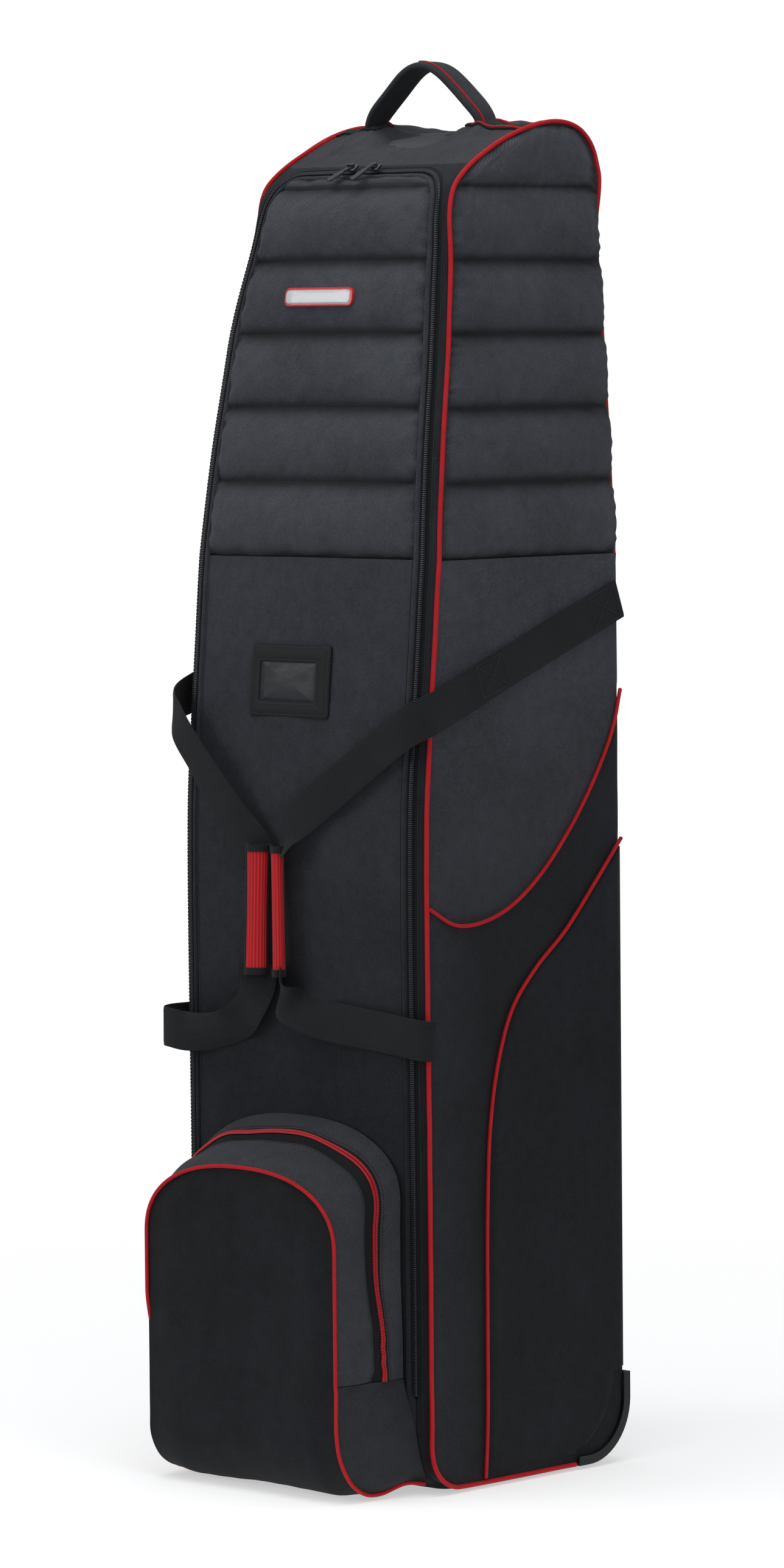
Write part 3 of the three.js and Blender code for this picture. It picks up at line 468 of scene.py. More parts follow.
def webbing_cloth(name="webbing_black", brightness=25, rib_mm=2.2):
    """Flat woven tape: lengthwise ribs crossed by fine picks; u is along, v across."""
    shader = Shader(name, 0.75, Sheen_Weight=0.04, Sheen_Roughness=0.4, Specular_IOR_Level=0.2)
    u, v = shader.uv()
    lengthwise = shader.wave(v, rib_mm)
    picks = shader.wave(shader.math("MULTIPLY_ADD", lengthwise, 0.0004, u), 1.3)
    weave = shader.math("MULTIPLY_ADD", picks, 0.5, lengthwise)
    tone = shader.range(weave, -1.5, 1.5)
    patch = shader.range(shader.noise(22, 3.0), 0.3, 0.7)
    worn = shader.mix(patch, grey(brightness), grey(brightness + 9))
    shader.set(Base_Color=shader.mix(tone, grey(brightness - 9), worn))
    shader.bump(weave, 0.25, 0.8)
    return shader.material


def zip_tape(name="zip_black"):
    shader = Shader(name, 0.7, Specular_IOR_Level=0.15)
    u, v = shader.uv()
    twill = shader.wave(shader.math("ADD", u, v), 1.0)
    shader.set(Base_Color=shader.mix(shader.range(twill, -1, 1), grey(14), grey(24)))
    shader.bump(twill, 0.12, 0.6)
    return shader.material


def coil_plastic(name, dark, light, roughness=0.4):
    shader = Shader(name, roughness, Specular_IOR_Level=0.45)
    mark = shader.noise(700, 2.0)
    shader.set(Base_Color=shader.mix(mark, dark, light))
    shader.bump(mark, 0.05, 0.4)
    return shader.material


def ribbed_red(name="grip_red"):
    """Padded grip cloth with ribs along the grip; v runs round it."""
    shader = Shader(name, 0.65, Sheen_Weight=0.03, Specular_IOR_Level=0.15)
    u, v = shader.uv()
    rib = shader.range(shader.wave(v, 3.0), -1, 1)
    pick = shader.range(shader.wave(u, 1.1), -1, 1)
    base = shader.mix(rib, (0.30, 0.010, 0.014, 1), (0.62, 0.022, 0.026, 1))
    shader.set(Base_Color=shader.mix(shader.math("MULTIPLY", pick, 0.25), base,
                                     (0.22, 0.006, 0.01, 1)))
    shader.bump(rib, 0.5, 0.9)
    return shader.material


def moulded(name, brightness, roughness=0.5, grain=900):
    """Moulded plastic or rubber with a fine spark grain and lighter, rougher scuffed patches."""
    shader = Shader(name, roughness, Specular_IOR_Level=0.28)
    fine = shader.noise(grain, 2.0)
    scuff = shader.range(shader.noise(35, 5.0, roughness=0.7), 0.45, 0.75)
    shader.set(Base_Color=shader.mix(scuff, grey(brightness), grey(brightness + 10)))
    shader.set(Roughness=shader.range(scuff, 0, 1, roughness - 0.08, roughness + 0.15))
    shader.bump(fine, 0.12, 0.5)
    return shader.material


def metal(name, colour, roughness):
    shader = Shader(name, roughness, Metallic=1.0)
    scratch = shader.noise(300, 3.0, stretch=(1, 1, 8))
    shader.set(Base_Color=shader.mix(scratch, tuple(0.7 * c for c in colour[:3]) + (1,), colour))
    shader.set(Roughness=shader.range(scratch, 0.3, 0.7, roughness - 0.08, roughness + 0.12))
    return shader.material


def vinyl(name="vinyl_black"):
    """Matt pebbled vinyl of the label holder."""
    shader = Shader(name, 0.6, Specular_IOR_Level=0.2)
    pebble = shader.node("ShaderNodeTexVoronoi", {"Vector": shader.coordinates["Object"],
                                                  "Scale": 900.0}).outputs["Distance"]
    shader.set(Base_Color=shader.mix(pebble, grey(15), grey(24)))
    shader.bump(pebble, 0.15, 0.6)
    return shader.material


def clear_window(name="window_clear"):
    """A clear pocket window over its dark backing: glossy, faintly scratched."""
    shader = Shader(name, 0.35, Specular_IOR_Level=0.15)
    haze = shader.noise(60, 4.0, stretch=(1, 1, 3))
    shader.set(Base_Color=shader.mix(haze, grey(26), grey(40)))
    shader.set(Roughness=shader.range(haze, 0.3, 0.7, 0.22, 0.4))
    shader.bump(shader.noise(25, 2.0), 0.8, 0.3)
    return shader.material


def lining_cloth(name="lining"):
    shader = Shader(name, 0.85, Sheen_Weight=0.1, Specular_IOR_Level=0.2)
    u, v = shader.uv()
    twill = shader.wave(shader.math("ADD", u, v), 1.6)
    patch = shader.noise(14, 3.0)
    tone = shader.math("MULTIPLY_ADD", twill, 0.2, patch)
    shader.set(Base_Color=shader.mix(tone, grey(40), grey(66)))
    shader.bump(twill, 0.15, 0.5)
    return shader.material


def enamel(name, colour, roughness=0.3):
    shader = Shader(name, roughness, Coat_Weight=0.4, Coat_Roughness=0.1)
    cloud = shader.noise(200, 3.0)
    shader.set(Base_Color=shader.mix(cloud, tuple(0.85 * c for c in colour[:3]) + (1,), colour))
    shader.bump(shader.noise(500, 2.0), 0.05, 0.4)
    return shader.material


CLOTH = plain_cloth("fabric_plain", 35, 57)
DARK_CLOTH = plain_cloth("fabric_dark", 28, 38)
QUILT = dobby_cloth("fabric_quilted", 40, 60)
# painted light: this dobby keeps nearly one brightness from floor to top, brighter low down than
# the quilt, for the pocket's gussets that face up into the light; the next one is a darker copy of
# the same cloth, painted shade for the pieces below the pocket's zip
DOBBY = dobby_cloth("fabric_dobby", 49, 47)
SHADED_DOBBY = dobby_cloth("fabric_dobby_shaded", 38, 42)
SIDE = side_cloth()
LINING = lining_cloth()
RED_CORD = red_cord()
WEBBING = webbing_cloth()
BINDING = webbing_cloth("binding_black", 28, 1.6)
TAPE = zip_tape()
COIL = coil_plastic("coil_black", grey(26), grey(64))
RED_COIL = coil_plastic("zip_red", (0.34, 0.008, 0.014, 1), (0.62, 0.03, 0.04, 1), 0.45)
GRIP = ribbed_red()
NEOPRENE = dobby_cloth("handle_cloth", 33, 40, 1.5, 0.3)
THREAD = coil_plastic("thread", grey(18), grey(46), 0.6)
PLASTIC = moulded("plastic_black", 14)
BOARD = moulded("board_plastic", 48, 0.6)
RUBBER = moulded("tyre_black", 36, 0.8, 500)
STEEL = metal("steel", (0.55, 0.56, 0.58, 1), 0.35)
GUNMETAL = metal("metal_dark", (0.10, 0.10, 0.11, 1), 0.42)
VINYL = vinyl()
WINDOW = clear_window()
BADGE_RED = enamel("badge_red", (0.50, 0.02, 0.025, 1))
BADGE_WHITE = enamel("badge_white", (0.52, 0.53, 0.55, 1))


# ------------------------------------------------------------------ making meshes
LEAN_IN = 27.0


def dented(points):
    """The soft head end slumps in on its left side, which the frame does not show."""
    points = np.array(points, float)
    x, y, z = points.T
    level = smoothstep(z, 1080, 1262) * (1 - 0.3 * smoothstep(z, 1270, 1300))
    forward = 1 - 0.6 * smoothstep(y, 30, 138)
    points[:, 0] += LEAN_IN * level * smoothstep(-x, 55, 155) * forward
    return points


def build(name, points, faces, materials, uv=None, slots=None, angle=38):
    """A mesh object from millimetre points; uv is in metres, slots picks each face's material."""
    mesh = bpy.data.meshes.new(name)
    mesh.from_pydata((dented(points) * MM).tolist(), [], [list(map(int, f)) for f in faces])
    for material in materials:
        mesh.materials.append(material)
    if slots is not None:
        mesh.polygons.foreach_set("material_index", np.asarray(slots, np.int32))
    if uv is not None:
        at = np.zeros(len(mesh.loops), np.int32)
        mesh.loops.foreach_get("vertex_index", at)
        layer = mesh.uv_layers.new(name="UVMap")
        layer.data.foreach_set("uv", np.asarray(uv, np.float32)[at].ravel())
    mesh.shade_smooth()
    mesh.set_sharp_from_angle(angle=math.radians(angle))
    mesh.validate()
    piece = shown(name, mesh)
    face_outward(piece)
    return piece


def shown(name, mesh):
    """A new object for a mesh; its name ends in _look, as the CAD node keeps the plain name."""
    piece = bpy.data.objects.new(f"{name}_look", mesh)
    bpy.context.scene.collection.objects.link(piece)
    return piece


def face_outward(piece):
    work = bmesh.new()
    work.from_mesh(piece.data)
    if work.calc_volume(signed=True) < 0:
        bmesh.ops.reverse_faces(work, faces=work.faces)
        work.to_mesh(piece.data)
    work.free()


def settle(piece, body, nodes=()):
    """Rides a piece on its body, in place of its CAD nodes."""
    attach(piece, body)
    stand_in(nodes)
    return piece


def stand_in(nodes=()):
    if nodes:
        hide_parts(*nodes)


def grid_faces(rows, columns):
    at = np.arange(rows * columns).reshape(rows, columns)
    return np.stack([at[:-1, :-1], at[:-1, 1:], at[1:, 1:], at[1:, :-1]], -1).reshape(-1, 4)


def tube_faces(rings, count):
    """Faces that join each ring of count points to the next."""
    faces = []
    for ring in range(rings - 1):
        for i in range(count):
            a, b = ring * count + i, ring * count + (i + 1) % count
            faces.append((a, b, b + count, a + count))
    return faces


def end_faces(rings, count):
    """The flat faces that close a tube's first and last ring."""
    return [list(range(count))[::-1], [(rings - 1) * count + i for i in range(count)]]


def mark_points(piece, name, values):
    """Stores one number per point for a material; both faces of the sheet get the same."""
    mark = piece.data.attributes.new(name, "FLOAT", "POINT")
    mark.data.foreach_set("value", np.tile(values.ravel(), 2).astype(np.float32))


def sided(name, sign):
    return f"{name}_right" if sign > 0 else f"{name}_left"


def slab(name, outer, inner, uv, cloth, lining=None):
    """A closed sheet from two matching (rows, columns, 3) grids; its inner face is lined."""
    rows, columns = outer.shape[:2]
    count = rows * columns
    face = grid_faces(rows, columns)
    at = np.arange(count).reshape(rows, columns)
    ring = np.concatenate([at[0, :-1], at[:-1, -1], at[-1, :0:-1], at[:0:-1, 0]])
    onward = np.roll(ring, -1)
    rim = np.stack([ring, ring + count, onward + count, onward], -1)
    faces = np.vstack([face, face[:, ::-1] + count, rim])
    slots = np.concatenate([np.zeros(len(face)), np.ones(len(face)), np.zeros(len(rim))])
    points = np.vstack([outer.reshape(-1, 3), inner.reshape(-1, 3)])
    flat = np.asarray(uv).reshape(-1, 2)
    return build(name, points, faces, [cloth, lining or cloth], np.vstack([flat, flat]), slots)


def mirrored(piece, name):
    """The same piece on the other side of the case."""
    data = piece.data.copy()
    data.name = name
    data.transform(Matrix.Diagonal((-1, 1, 1, 1)))
    data.flip_normals()
    return shown(name, data)


def pair(piece, node):
    """Rides a right-hand piece and its mirror image on the shell, in place of their CAD nodes."""
    settle(mirrored(piece, f"{node}_left"), "shell", [f"{node}_left"])
    settle(piece, "shell", [f"{node}_right"])


def frames(path, lean):
    """Side and up directions along a path, keeping up as near as it can to the given way."""
    along = tangents(path)
    side = unit(np.cross(along, np.broadcast_to(lean, path.shape)))
    return along, side, np.cross(side, along)


def cord(name, path, radius, material, sides=12, lean=(0.31, -0.84, 0.45)):
    """A round cord along a path with domed ends; u runs along it and v round it."""
    path = np.asarray(path, float)
    along, side, up = frames(path, np.asarray(lean, float))
    turn = np.linspace(0, 2 * math.pi, sides + 1)
    ring = [(math.cos(a), math.sin(a)) for a in turn]
    rings = [path + (c * side + v * up) * radius for c, v in ring[:-1]]
    points = np.stack(rings, 1).reshape(-1, 3)
    run = lengths(path)
    uv = [(u * MM, a * radius * MM) for u in run for a in turn[:-1]]
    faces = tube_faces(len(path), sides)
    tips = [path[0] - along[0] * radius * 0.6, path[-1] + along[-1] * radius * 0.6]
    points = np.vstack([points, tips])
    uv += [(0, 0), (run[-1] * MM, 0)]
    first, last = len(points) - 2, len(points) - 1
    base = (len(path) - 1) * sides
    for i in range(sides):
        faces.append((first, (i + 1) % sides, i))
        faces.append((last, base + i, base + (i + 1) % sides))
    return build(name, points, faces, [material], uv, angle=60)


def tape(name, path, lean, width, thickness, material, columns=9, edge=0.25):
    """Flat webbing along a path, its face towards lean, with slightly raised woven edges."""
    _, side, up = frames(path, lean)
    across = np.linspace(-1, 1, columns)
    lift = thickness / 2 * (1 + edge * smoothstep(abs(across), 0.75, 0.95))
    lift = lift * (1 - 0.55 * smoothstep(abs(across), 0.97, 1.0))
    place = path[:, None] + side[:, None] * (across * width / 2)[None, :, None]
    outer = place + up[:, None] * lift[None, :, None]
    inner = place - up[:, None] * lift[None, :, None]
    run = lengths(path)
    uv = np.stack(np.meshgrid(run, across * width / 2, indexing="ij"), -1) * MM
    return slab(name, outer, inner, uv, material)


def blocks(name, centres, along, up, size, material, taper=0.6):
    """Many small tapered blocks as one mesh, such as zip teeth or stitches."""
    centres, along, up = (np.asarray(v, float).reshape(-1, 3) for v in (centres, along, up))
    along = unit(np.broadcast_to(along, centres.shape))
    up = unit(np.broadcast_to(up, centres.shape))
    side = unit(np.cross(along, up))
    up = np.cross(side, along)
    length, width, height = (v / 2 for v in size)
    layers = []
    for level, share in ((-1, 1.0), (0.2, 1.0), (1, taper)):
        for a, b in ((-1, -1), (1, -1), (1, 1), (-1, 1)):
            layers.append(centres + along * a * length * share + side * b * width * share
                          + up * level * height)
    points = np.stack(layers, 1).reshape(-1, 3)
    one = [(3, 2, 1, 0), (8, 9, 10, 11)]
    for base in (0, 4):
        one += [(base + i, base + (i + 1) % 4, base + 4 + (i + 1) % 4, base + 4 + i)
                for i in range(4)]
    offsets = np.arange(len(centres)) * 12
    faces = (offsets[:, None, None] + np.array(one)[None]).reshape(-1, 4)
    return build(name, points, faces, [material], points[:, [0, 2]] * MM, angle=30)


def stitch_line(path, up, pitch=3.4):
    """Centres, directions and normals of a row of stitches along a path."""
    run = lengths(path)
    at = np.arange(pitch / 2, run[-1], pitch)

    def sample(values):
        return np.stack([np.interp(at, run, c) for c in np.asarray(values, float).T], -1)

    return sample(path), sample(tangents(path)), sample(np.broadcast_to(up, path.shape))


STITCH = (2.5, 0.55, 0.45)


def stitches(name, lines, body):
    """Rows of stitches as one piece."""
    centres, along, up = (np.vstack(parts) for parts in zip(*lines))
    return settle(blocks(name, centres, along, up, STITCH, THREAD), body)


# ------------------------------------------------------------------ cloth simulation
def swell(piece, pinned, pressure, slack, cap, frames_run=20):
    """Blows up a padded piece by cloth simulation: pinned points hold, no point moves past cap."""
    rest = np.array([v.co for v in piece.data.vertices])
    group = piece.vertex_groups.new(name="sewn")
    group.add([int(i) for i in pinned], 1.0, "REPLACE")
    cloth = piece.modifiers.new("cloth", "CLOTH")
    settings = cloth.settings
    settings.quality = 5
    settings.mass = 0.25
    settings.tension_stiffness = 22
    settings.compression_stiffness = 12
    settings.shear_stiffness = 8
    settings.bending_stiffness = 0.35
    settings.use_pressure = True
    settings.uniform_pressure_force = pressure
    settings.shrink_min = -slack
    settings.vertex_group_mass = group.name
    settings.effector_weights.gravity = 0
    cloth.collision_settings.use_collision = False
    cloth.point_cache.frame_start = 1
    cloth.point_cache.frame_end = frames_run
    for step in range(1, frames_run + 1):
        bpy.context.scene.frame_set(step)
    shown = piece.evaluated_get(bpy.context.evaluated_depsgraph_get())
    moved = np.array([v.co for v in shown.data.vertices]) - rest
    piece.modifiers.remove(cloth)
    piece.vertex_groups.clear()
    far = np.linalg.norm(moved, axis=1, keepdims=True)
    moved *= np.minimum(1, cap * MM / np.maximum(far, 1e-9))
    piece.data.vertices.foreach_set("co", (rest + moved).ravel())
    piece.data.update()
    bpy.context.scene.frame_set(1)


def subdivide(piece):
    """One level of subdivision, applied, so that the mesh itself is smooth."""
    smooth = piece.modifiers.new("smooth", "SUBSURF")
    smooth.levels = smooth.render_levels = 1
    smooth.boundary_smooth = "PRESERVE_CORNERS"
    graph = bpy.context.evaluated_depsgraph_get()
    mesh = bpy.data.meshes.new_from_object(piece.evaluated_get(graph))
    piece.modifiers.remove(smooth)
    mesh.name = piece.data.name
    piece.data = mesh
    mesh.shade_smooth()


# ------------------------------------------------------------------ quilted pads
QUILT_STEP = 70.0
QUILT_LINES = SHOULDER + 2 + QUILT_STEP * np.arange(6)  # heights of the sewn lines
PILLOW = 8.0
GROOVE = 2.6
PAD_FOOT = SHOULDER - 0.2


def pillow(z, top, edge):
    """Height of the quilting at a height, a distance from the pad's own edge."""
    knots = [*QUILT_LINES[QUILT_LINES < top - 4], top]
    place = np.interp(z, knots, np.arange(len(knots)))
    across = place - np.floor(np.minimum(place, len(knots) - 1 - 1e-6))
    row = (1 - abs(2 * across**0.86 - 1) ** 2.4) ** 0.8
    span = np.diff(knots)[np.minimum(place.astype(int), len(knots) - 2)]
    tall = np.minimum(1, span / 40) ** 0.6
    ends = smoothstep(edge, 1, 14) ** 0.6
    return PILLOW * row * ends * tall - GROOVE * (1 - row) ** 2 * smoothstep(edge, 0, 6)


def puckers(edge, z, along, fade, seed):
    """Small upright gathers that die away from a pad's edge."""
    return np.exp(-np.maximum(edge - 4, 0) / fade) * rumple(z, along, 8, seed)


def quilt_rows(bottom, top, per=17):
    """Heights of a quilted pad's rows of points, and which of them are sewn down."""
    inner = [z for z in QUILT_LINES if bottom + 4 < z < top - 4]
    knots = [bottom, *inner, top]
    heights, sewn = [], []
    for low, high in zip(knots, knots[1:]):
        count = max(4, round(per * (high - low) / QUILT_STEP))
        ease = np.linspace(0, 1, count, endpoint=False)
        ease = ease - 0.1 * np.sin(2 * math.pi * ease) / (2 * math.pi) * 4
        heights += list(low + (high - low) * ease)
        sewn += [k == 0 for k in range(count)]
    return np.array([*heights, top]), np.array([*sewn, True])


def quilted(name, grid, sewn, uv, lift, normal, depth):
    """A padded piece: a grid on the body's surface, swollen between its sewn rows."""
    rows, columns = grid.shape[:2]
    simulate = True
    share = 0.85 if simulate else 1.0
    outer = grid + normal * np.where(lift > 0, lift * share, lift)[..., None]
    inner = grid - normal * depth
    piece = slab(name, outer, inner, uv, QUILT, LINING)
    # painted shade mark: full in the grooves between the pillows and at the pads' edges, none on
    # the pillows' tops
    mark_points(piece, "groove_shade", 1 - smoothstep(lift, -1.5, 6.0))
    if simulate:
        at = np.arange(rows * columns).reshape(rows, columns)
        held = [at[sewn].ravel(), at[:, 0], at[:, -1], at[0], at[-1]]
        inside = np.arange(rows * columns) + rows * columns
        swell(piece, np.unique(np.concatenate([*held, inside])), 4.0, 0.006, 4.0)
    subdivide(piece)
    return piece


def door_pad():
    top_z = outline_z(PAD_TOP_S) - 0.3
    heights, sewn = quilt_rows(PAD_FOOT, top_z)
    s = s_front(heights)
    x = np.linspace(-1, 1, 73)[None, :] * door_half(s)[:, None]
    s = np.broadcast_to(s[:, None], x.shape)
    z = np.broadcast_to(heights[:, None], x.shape)
    edge = np.minimum(door_half(s) - abs(x), (PAD_TOP_S - s) * 1.4)
    lift = pillow(z, top_z, edge)
    pucker = puckers(edge, z, x * 0.25, 9, 5)
    lift = lift + smoothstep(edge, 0, 4) * (2.4 * pucker + 0.35 * rumple(x, z, 48, 3))
    uv = np.stack([x, s], -1) * MM
    return quilted("door_pad", surface(x, s), sewn, uv, lift, surface_normal(s), 7.0)


def side_pad(sign):
    top_z = OUTLINE[APEX, 1] - 1.0
    heights, sewn = quilt_rows(PAD_FOOT, top_z, 18)
    share = np.linspace(0, 1, 69)[None, :]
    low = (front_y(heights) + front_seam(heights, sign))[:, None]
    high = side_run(heights)[:, None]
    y = low + (high - low) * share
    z = np.broadcast_to(heights[:, None], y.shape)
    edge = np.minimum(y - low, (high - y) * 0.45)
    crest = np.maximum(top_z - z, 0)
    lift = pillow(z, top_z, np.minimum(edge, crest * 1.5))
    brow = smoothstep(z, 1150, 1225) * smoothstep(edge, 0, 22)
    folds = rumple(y * 1.7 - z * 0.9, y * 0.2, 17, 11) * np.exp(-edge / 30)
    pucker = puckers(edge, z, y * 0.25, 9, 7)
    bulge = 6.0 if sign < 0 else 2.5
    fine = 2.2 * pucker + 0.35 * rumple(y, z, 48, 9) + brow * (bulge + 2.2 * folds)
    lift = lift + smoothstep(edge, 0, 4) * fine
    grid = side_point(y, z, -1.0) * [sign, 1, 1]
    ahead = side_point(y, z, 0.0) * [sign, 1, 1]
    uv = np.stack([y * sign, z], -1) * MM
    name = sided("side_pad", sign)
    return quilted(name, grid, sewn, uv, lift, unit(ahead - grid), 6.0)


def back_pad():
    heights, sewn = quilt_rows(PAD_FOOT, REAR_PAD_TOP)
    s = s_back(heights)
    x = np.linspace(1, -1, 73)[None, :] * back_half(heights)[:, None]
    z = np.broadcast_to(heights[:, None], x.shape)
    s = np.broadcast_to(s[:, None], x.shape)
    edge = back_half(z) - abs(x)
    lift = pillow(z, REAR_PAD_TOP, edge)
    pucker = puckers(edge, z, x * 0.2, 7, 15)
    lift = lift + smoothstep(edge, 0, 4) * (1.5 * pucker + 0.35 * rumple(x, z, 48, 13))
    uv = np.stack([x, z], -1) * MM
    return quilted("back_pad", surface(x, s), sewn, uv, lift, surface_normal(s), 6.0)


def quilted_pads():
    settle(door_pad(), "door", ["door_pad"])
    for side, sign in SIDES.items():
        settle(side_pad(sign), "shell", [f"side_pad_{side}"])
    settle(back_pad(), "shell", ["back_pad"])


# ------------------------------------------------------------------ plain body panels
LOWER_SEAM = np.array([(-67, 10), (-64, 60), (-63, 160), (-62, 260), (-57, 345), (-46, 402),
                       (-25, 454), (8, 490), (52, 524), (96, 568), (134, 608)], float)
UPPER_SEAM = np.array([(-139, 557), (-104, 540), (-72, 539), (-31, 550), (12, 576), (60, 622),
                       (101, 676), (123, 716), (134, 752)], float)


def seam_distance(y, z, seam):
    """Distance from a side seam, positive on its lower or rear side."""
    line = evenly(catmull(seam, 12), 3.0)
    flat = np.stack([y.ravel(), z.ravel()], -1)
    gaps = np.linalg.norm(flat[:, None] - line[None], axis=2)
    near = gaps.argmin(1)
    direction = tangents(line)[near]
    away = flat - line[near]
    sign = np.sign(direction[:, 0] * away[:, 1] - direction[:, 1] * away[:, 0])
    return (-sign * gaps.min(1)).reshape(y.shape)


def side_panel(sign):
    low = [FLOOR + v for v in (0.6, 1.6, 3.2, 5.5, 8.5, 12, 16, 20.5, 25.5, 31, 37, 43)]
    heights = np.array([*low, *np.linspace(FLOOR + 50, SHOULDER, 206)])
    front = (front_y(heights) + front_seam(heights, sign) * smoothstep(heights, 20, 60))[:, None]
    back = side_run(heights)[:, None]
    y = front + (back - front) * np.linspace(0, 1, 68)[None, :]
    z = np.broadcast_to(heights[:, None], y.shape)
    lower, upper = seam_distance(y, z, LOWER_SEAM), seam_distance(y, z, UPPER_SEAM)
    edge = np.minimum(y - front, back - y)
    soft = smoothstep(edge, 0, 20) * smoothstep(SHOULDER - z, 0, 12)
    seam = np.exp(-((lower / 5) ** 2)) + np.exp(-((upper / 5) ** 2))
    out = 0.5 * soft * rumple(y, z, 120, 21) + 0.15 * soft * rumple(y * 1.4, z * 0.6, 45, 22)
    out = out + 0.8 * smoothstep(edge, 0, 12) * hanging_folds(y, z, 23)
    out = out - 0.7 * seam - 1.6 * (1 - smoothstep(y - front, 0, 5)) - 0.6
    grid = side_point(y, z, out) * [sign, 1, 1]
    inner = side_point(y, z, -3.0) * [sign, 1, 1]
    name = sided("side_panel", sign)
    piece = slab(name, grid, inner, np.stack([y, z], -1) * MM, SIDE, LINING)
    mark_points(piece, "below_upper_seam", upper)
    return piece


def wing_panel():
    """The raised panel behind the lower seam, ending in front of the wheel housing."""
    line = evenly(catmull(LOWER_SEAM, 12), 2.0)
    heights = np.concatenate([np.linspace(16, 84, 18), np.linspace(90, 600, 128)])
    front = np.interp(heights, line[:, 1], line[:, 0]) + 3.4
    rear = np.full_like(heights, 134.0)
    curve = 44.0
    low = heights < HOUSING_TOP + 3
    drop = np.clip((HOUSING_TOP + 3 - heights) / 70, 0, 1)
    rear = np.where(low, HOUSING_FRONT - 3 + (134 - curve * 0.25 - HOUSING_FRONT)
                    * np.sqrt(np.maximum(0, 1 - drop**1.6)), rear)
    keep = rear - front > 4
    heights, front, rear = heights[keep], front[keep], rear[keep]
    share = np.linspace(0, 1, 50)[None, :]
    y = front[:, None] + (rear - front)[:, None] * share
    z = np.broadcast_to(heights[:, None], y.shape)
    edge = np.minimum(y - front[:, None], rear[:, None] - y)
    edge = np.minimum(edge, z - heights[0])
    uneven = smoothstep(edge, 4, 26) * 0.6 * rumple(y, z, 95, 31)
    lift = 2.0 * smoothstep(edge, 0, 7) ** 0.7 + uneven
    grid = np.stack([HALF_WIDTH + 0.1 + lift, y, z], -1)
    inner = np.stack([np.full_like(y, HALF_WIDTH - 0.4), y, z], -1)
    return slab("wing_panel_right", grid, inner, np.stack([y, z], -1) * MM, DARK_CLOTH)


def on_surface(name, x, s, lift, depth, cloth, lining=None):
    """A sheet lying on the body: x and s are matching grids."""
    away = surface_normal(s)
    outer = surface(x, s) + away * np.asarray(lift)[..., None]
    inner = surface(x, s) - away * depth
    return slab(name, outer, inner, np.stack([x, s], -1) * MM, cloth, lining)


def spread(s, half, columns):
    x = np.linspace(-1, 1, columns)[None, :] * np.asarray(half)[:, None]
    return x, np.broadcast_to(np.asarray(s)[:, None], x.shape)


def hanging_folds(across, z, seed):
    """Soft upright folds that hang from the shoulder seam."""
    below = SHOULDER - z
    return np.exp(-below / 75) * smoothstep(below, 0, 9) * rumple(across, z * 0.12, 30, seed)


def door_panel():
    corner_end = s_front(48)
    s = np.concatenate([np.linspace(HINGE_S + 0.6, corner_end, 22, endpoint=False),
                        np.linspace(corner_end, s_front(SHOULDER), 200)])
    x, s = spread(s, door_half(s), 64)
    edge = door_half(s) - abs(x)
    soft = smoothstep(edge, 0, 30) * smoothstep(outline_z(s), 60, 160)
    lift = 1.2 * soft * rumple(x, s, 150, 41) + 0.35 * soft * rumple(x * 1.5, s * 0.5, 50, 42)
    lift = lift + 0.9 * soft * hanging_folds(x, outline_z(s), 43)
    return on_surface("door_panel", x, s, lift, 3.0, CLOTH, LINING)


def back_panel():
    s = np.linspace(s_back(SHOULDER), s_back(HOUSING_TOP + 1), 190)
    x, s = spread(s, back_half(outline_z(s)), 64)
    soft = smoothstep(HALF_WIDTH - abs(x), 0, 30)
    lift = 1.0 * soft * rumple(x, s, 140, 51) + 0.2 * rumple(x, s, 45, 52) - 0.4
    return on_surface("back_panel", -x, s, lift, 3.0, CLOTH, LINING)


WELL_GAP_HALF = 102.6  # half the floor's width between the wheel housings


def floor_panel():
    wide = np.linspace(HINGE_S - GAP, 0.2, 40)
    narrow = np.linspace(S[-1], s_back(HOUSING_TOP + 1) - 0.2, 40)
    half = np.concatenate([np.full(40, HALF_WIDTH - 1.0), np.full(40, WELL_GAP_HALF)])
    x, s = spread(np.concatenate([wide, narrow]), half, 40)
    return on_surface("bottom_panel", x, s, 0.3 * rumple(x, s, 60, 61) - 0.5, 3.0, DARK_CLOTH,
                      LINING)


HANDLE_Y = joint_point("handle_hinge")[1]
HANDLE_X = 72.0


def top_relief(x, s):
    """The top panel pulled up at the handle's two feet, with folds running down from them."""
    y = np.interp(s, S, OUTLINE[:, 0])
    away = np.abs(np.abs(x) - HANDLE_X)
    forward = np.where(y < HANDLE_Y, 46, 24)
    near = np.exp(-((away / 24) ** 2) - ((y - HANDLE_Y) / forward) ** 2)
    between = smoothstep(HANDLE_X - abs(x), 8, 52) * np.exp(-(((y - HANDLE_Y) / 46) ** 2))
    ray = np.arctan2(y - HANDLE_Y, np.abs(x) - HANDLE_X)
    reach = np.hypot(y - HANDLE_Y, away)
    folds = np.cos(ray * 6 + 1) * np.exp(-(((reach - 40) / 28) ** 2))
    edge = half_width(outline_z(s)) - 0.8 - abs(x)
    soft = smoothstep(edge, 0, 18) * smoothstep(s - COIL_TOP_S - TOP_PANEL_FOOT, 0, 14)
    small = 1.0 * rumple(x, s, 48, 71) + 0.8 * rumple(x * 1.2, s * 0.7, 21, 72)
    return soft * (7.0 * near - 8.5 * between + 2.0 * folds + small)


GUSSET_TOP = 12.6  # from the coil to the upper edge of its gusset
TOP_PANEL_FOOT = 12.4


def top_panel():
    s = np.linspace(COIL_TOP_S + TOP_PANEL_FOOT, s_back(REAR_PAD_TOP + 0.2), 110)
    x, s = spread(s, half_width(outline_z(s)) - 0.8, 100)
    return on_surface("top_panel", x, s, top_relief(x, s), 6.0, DOBBY, LINING)


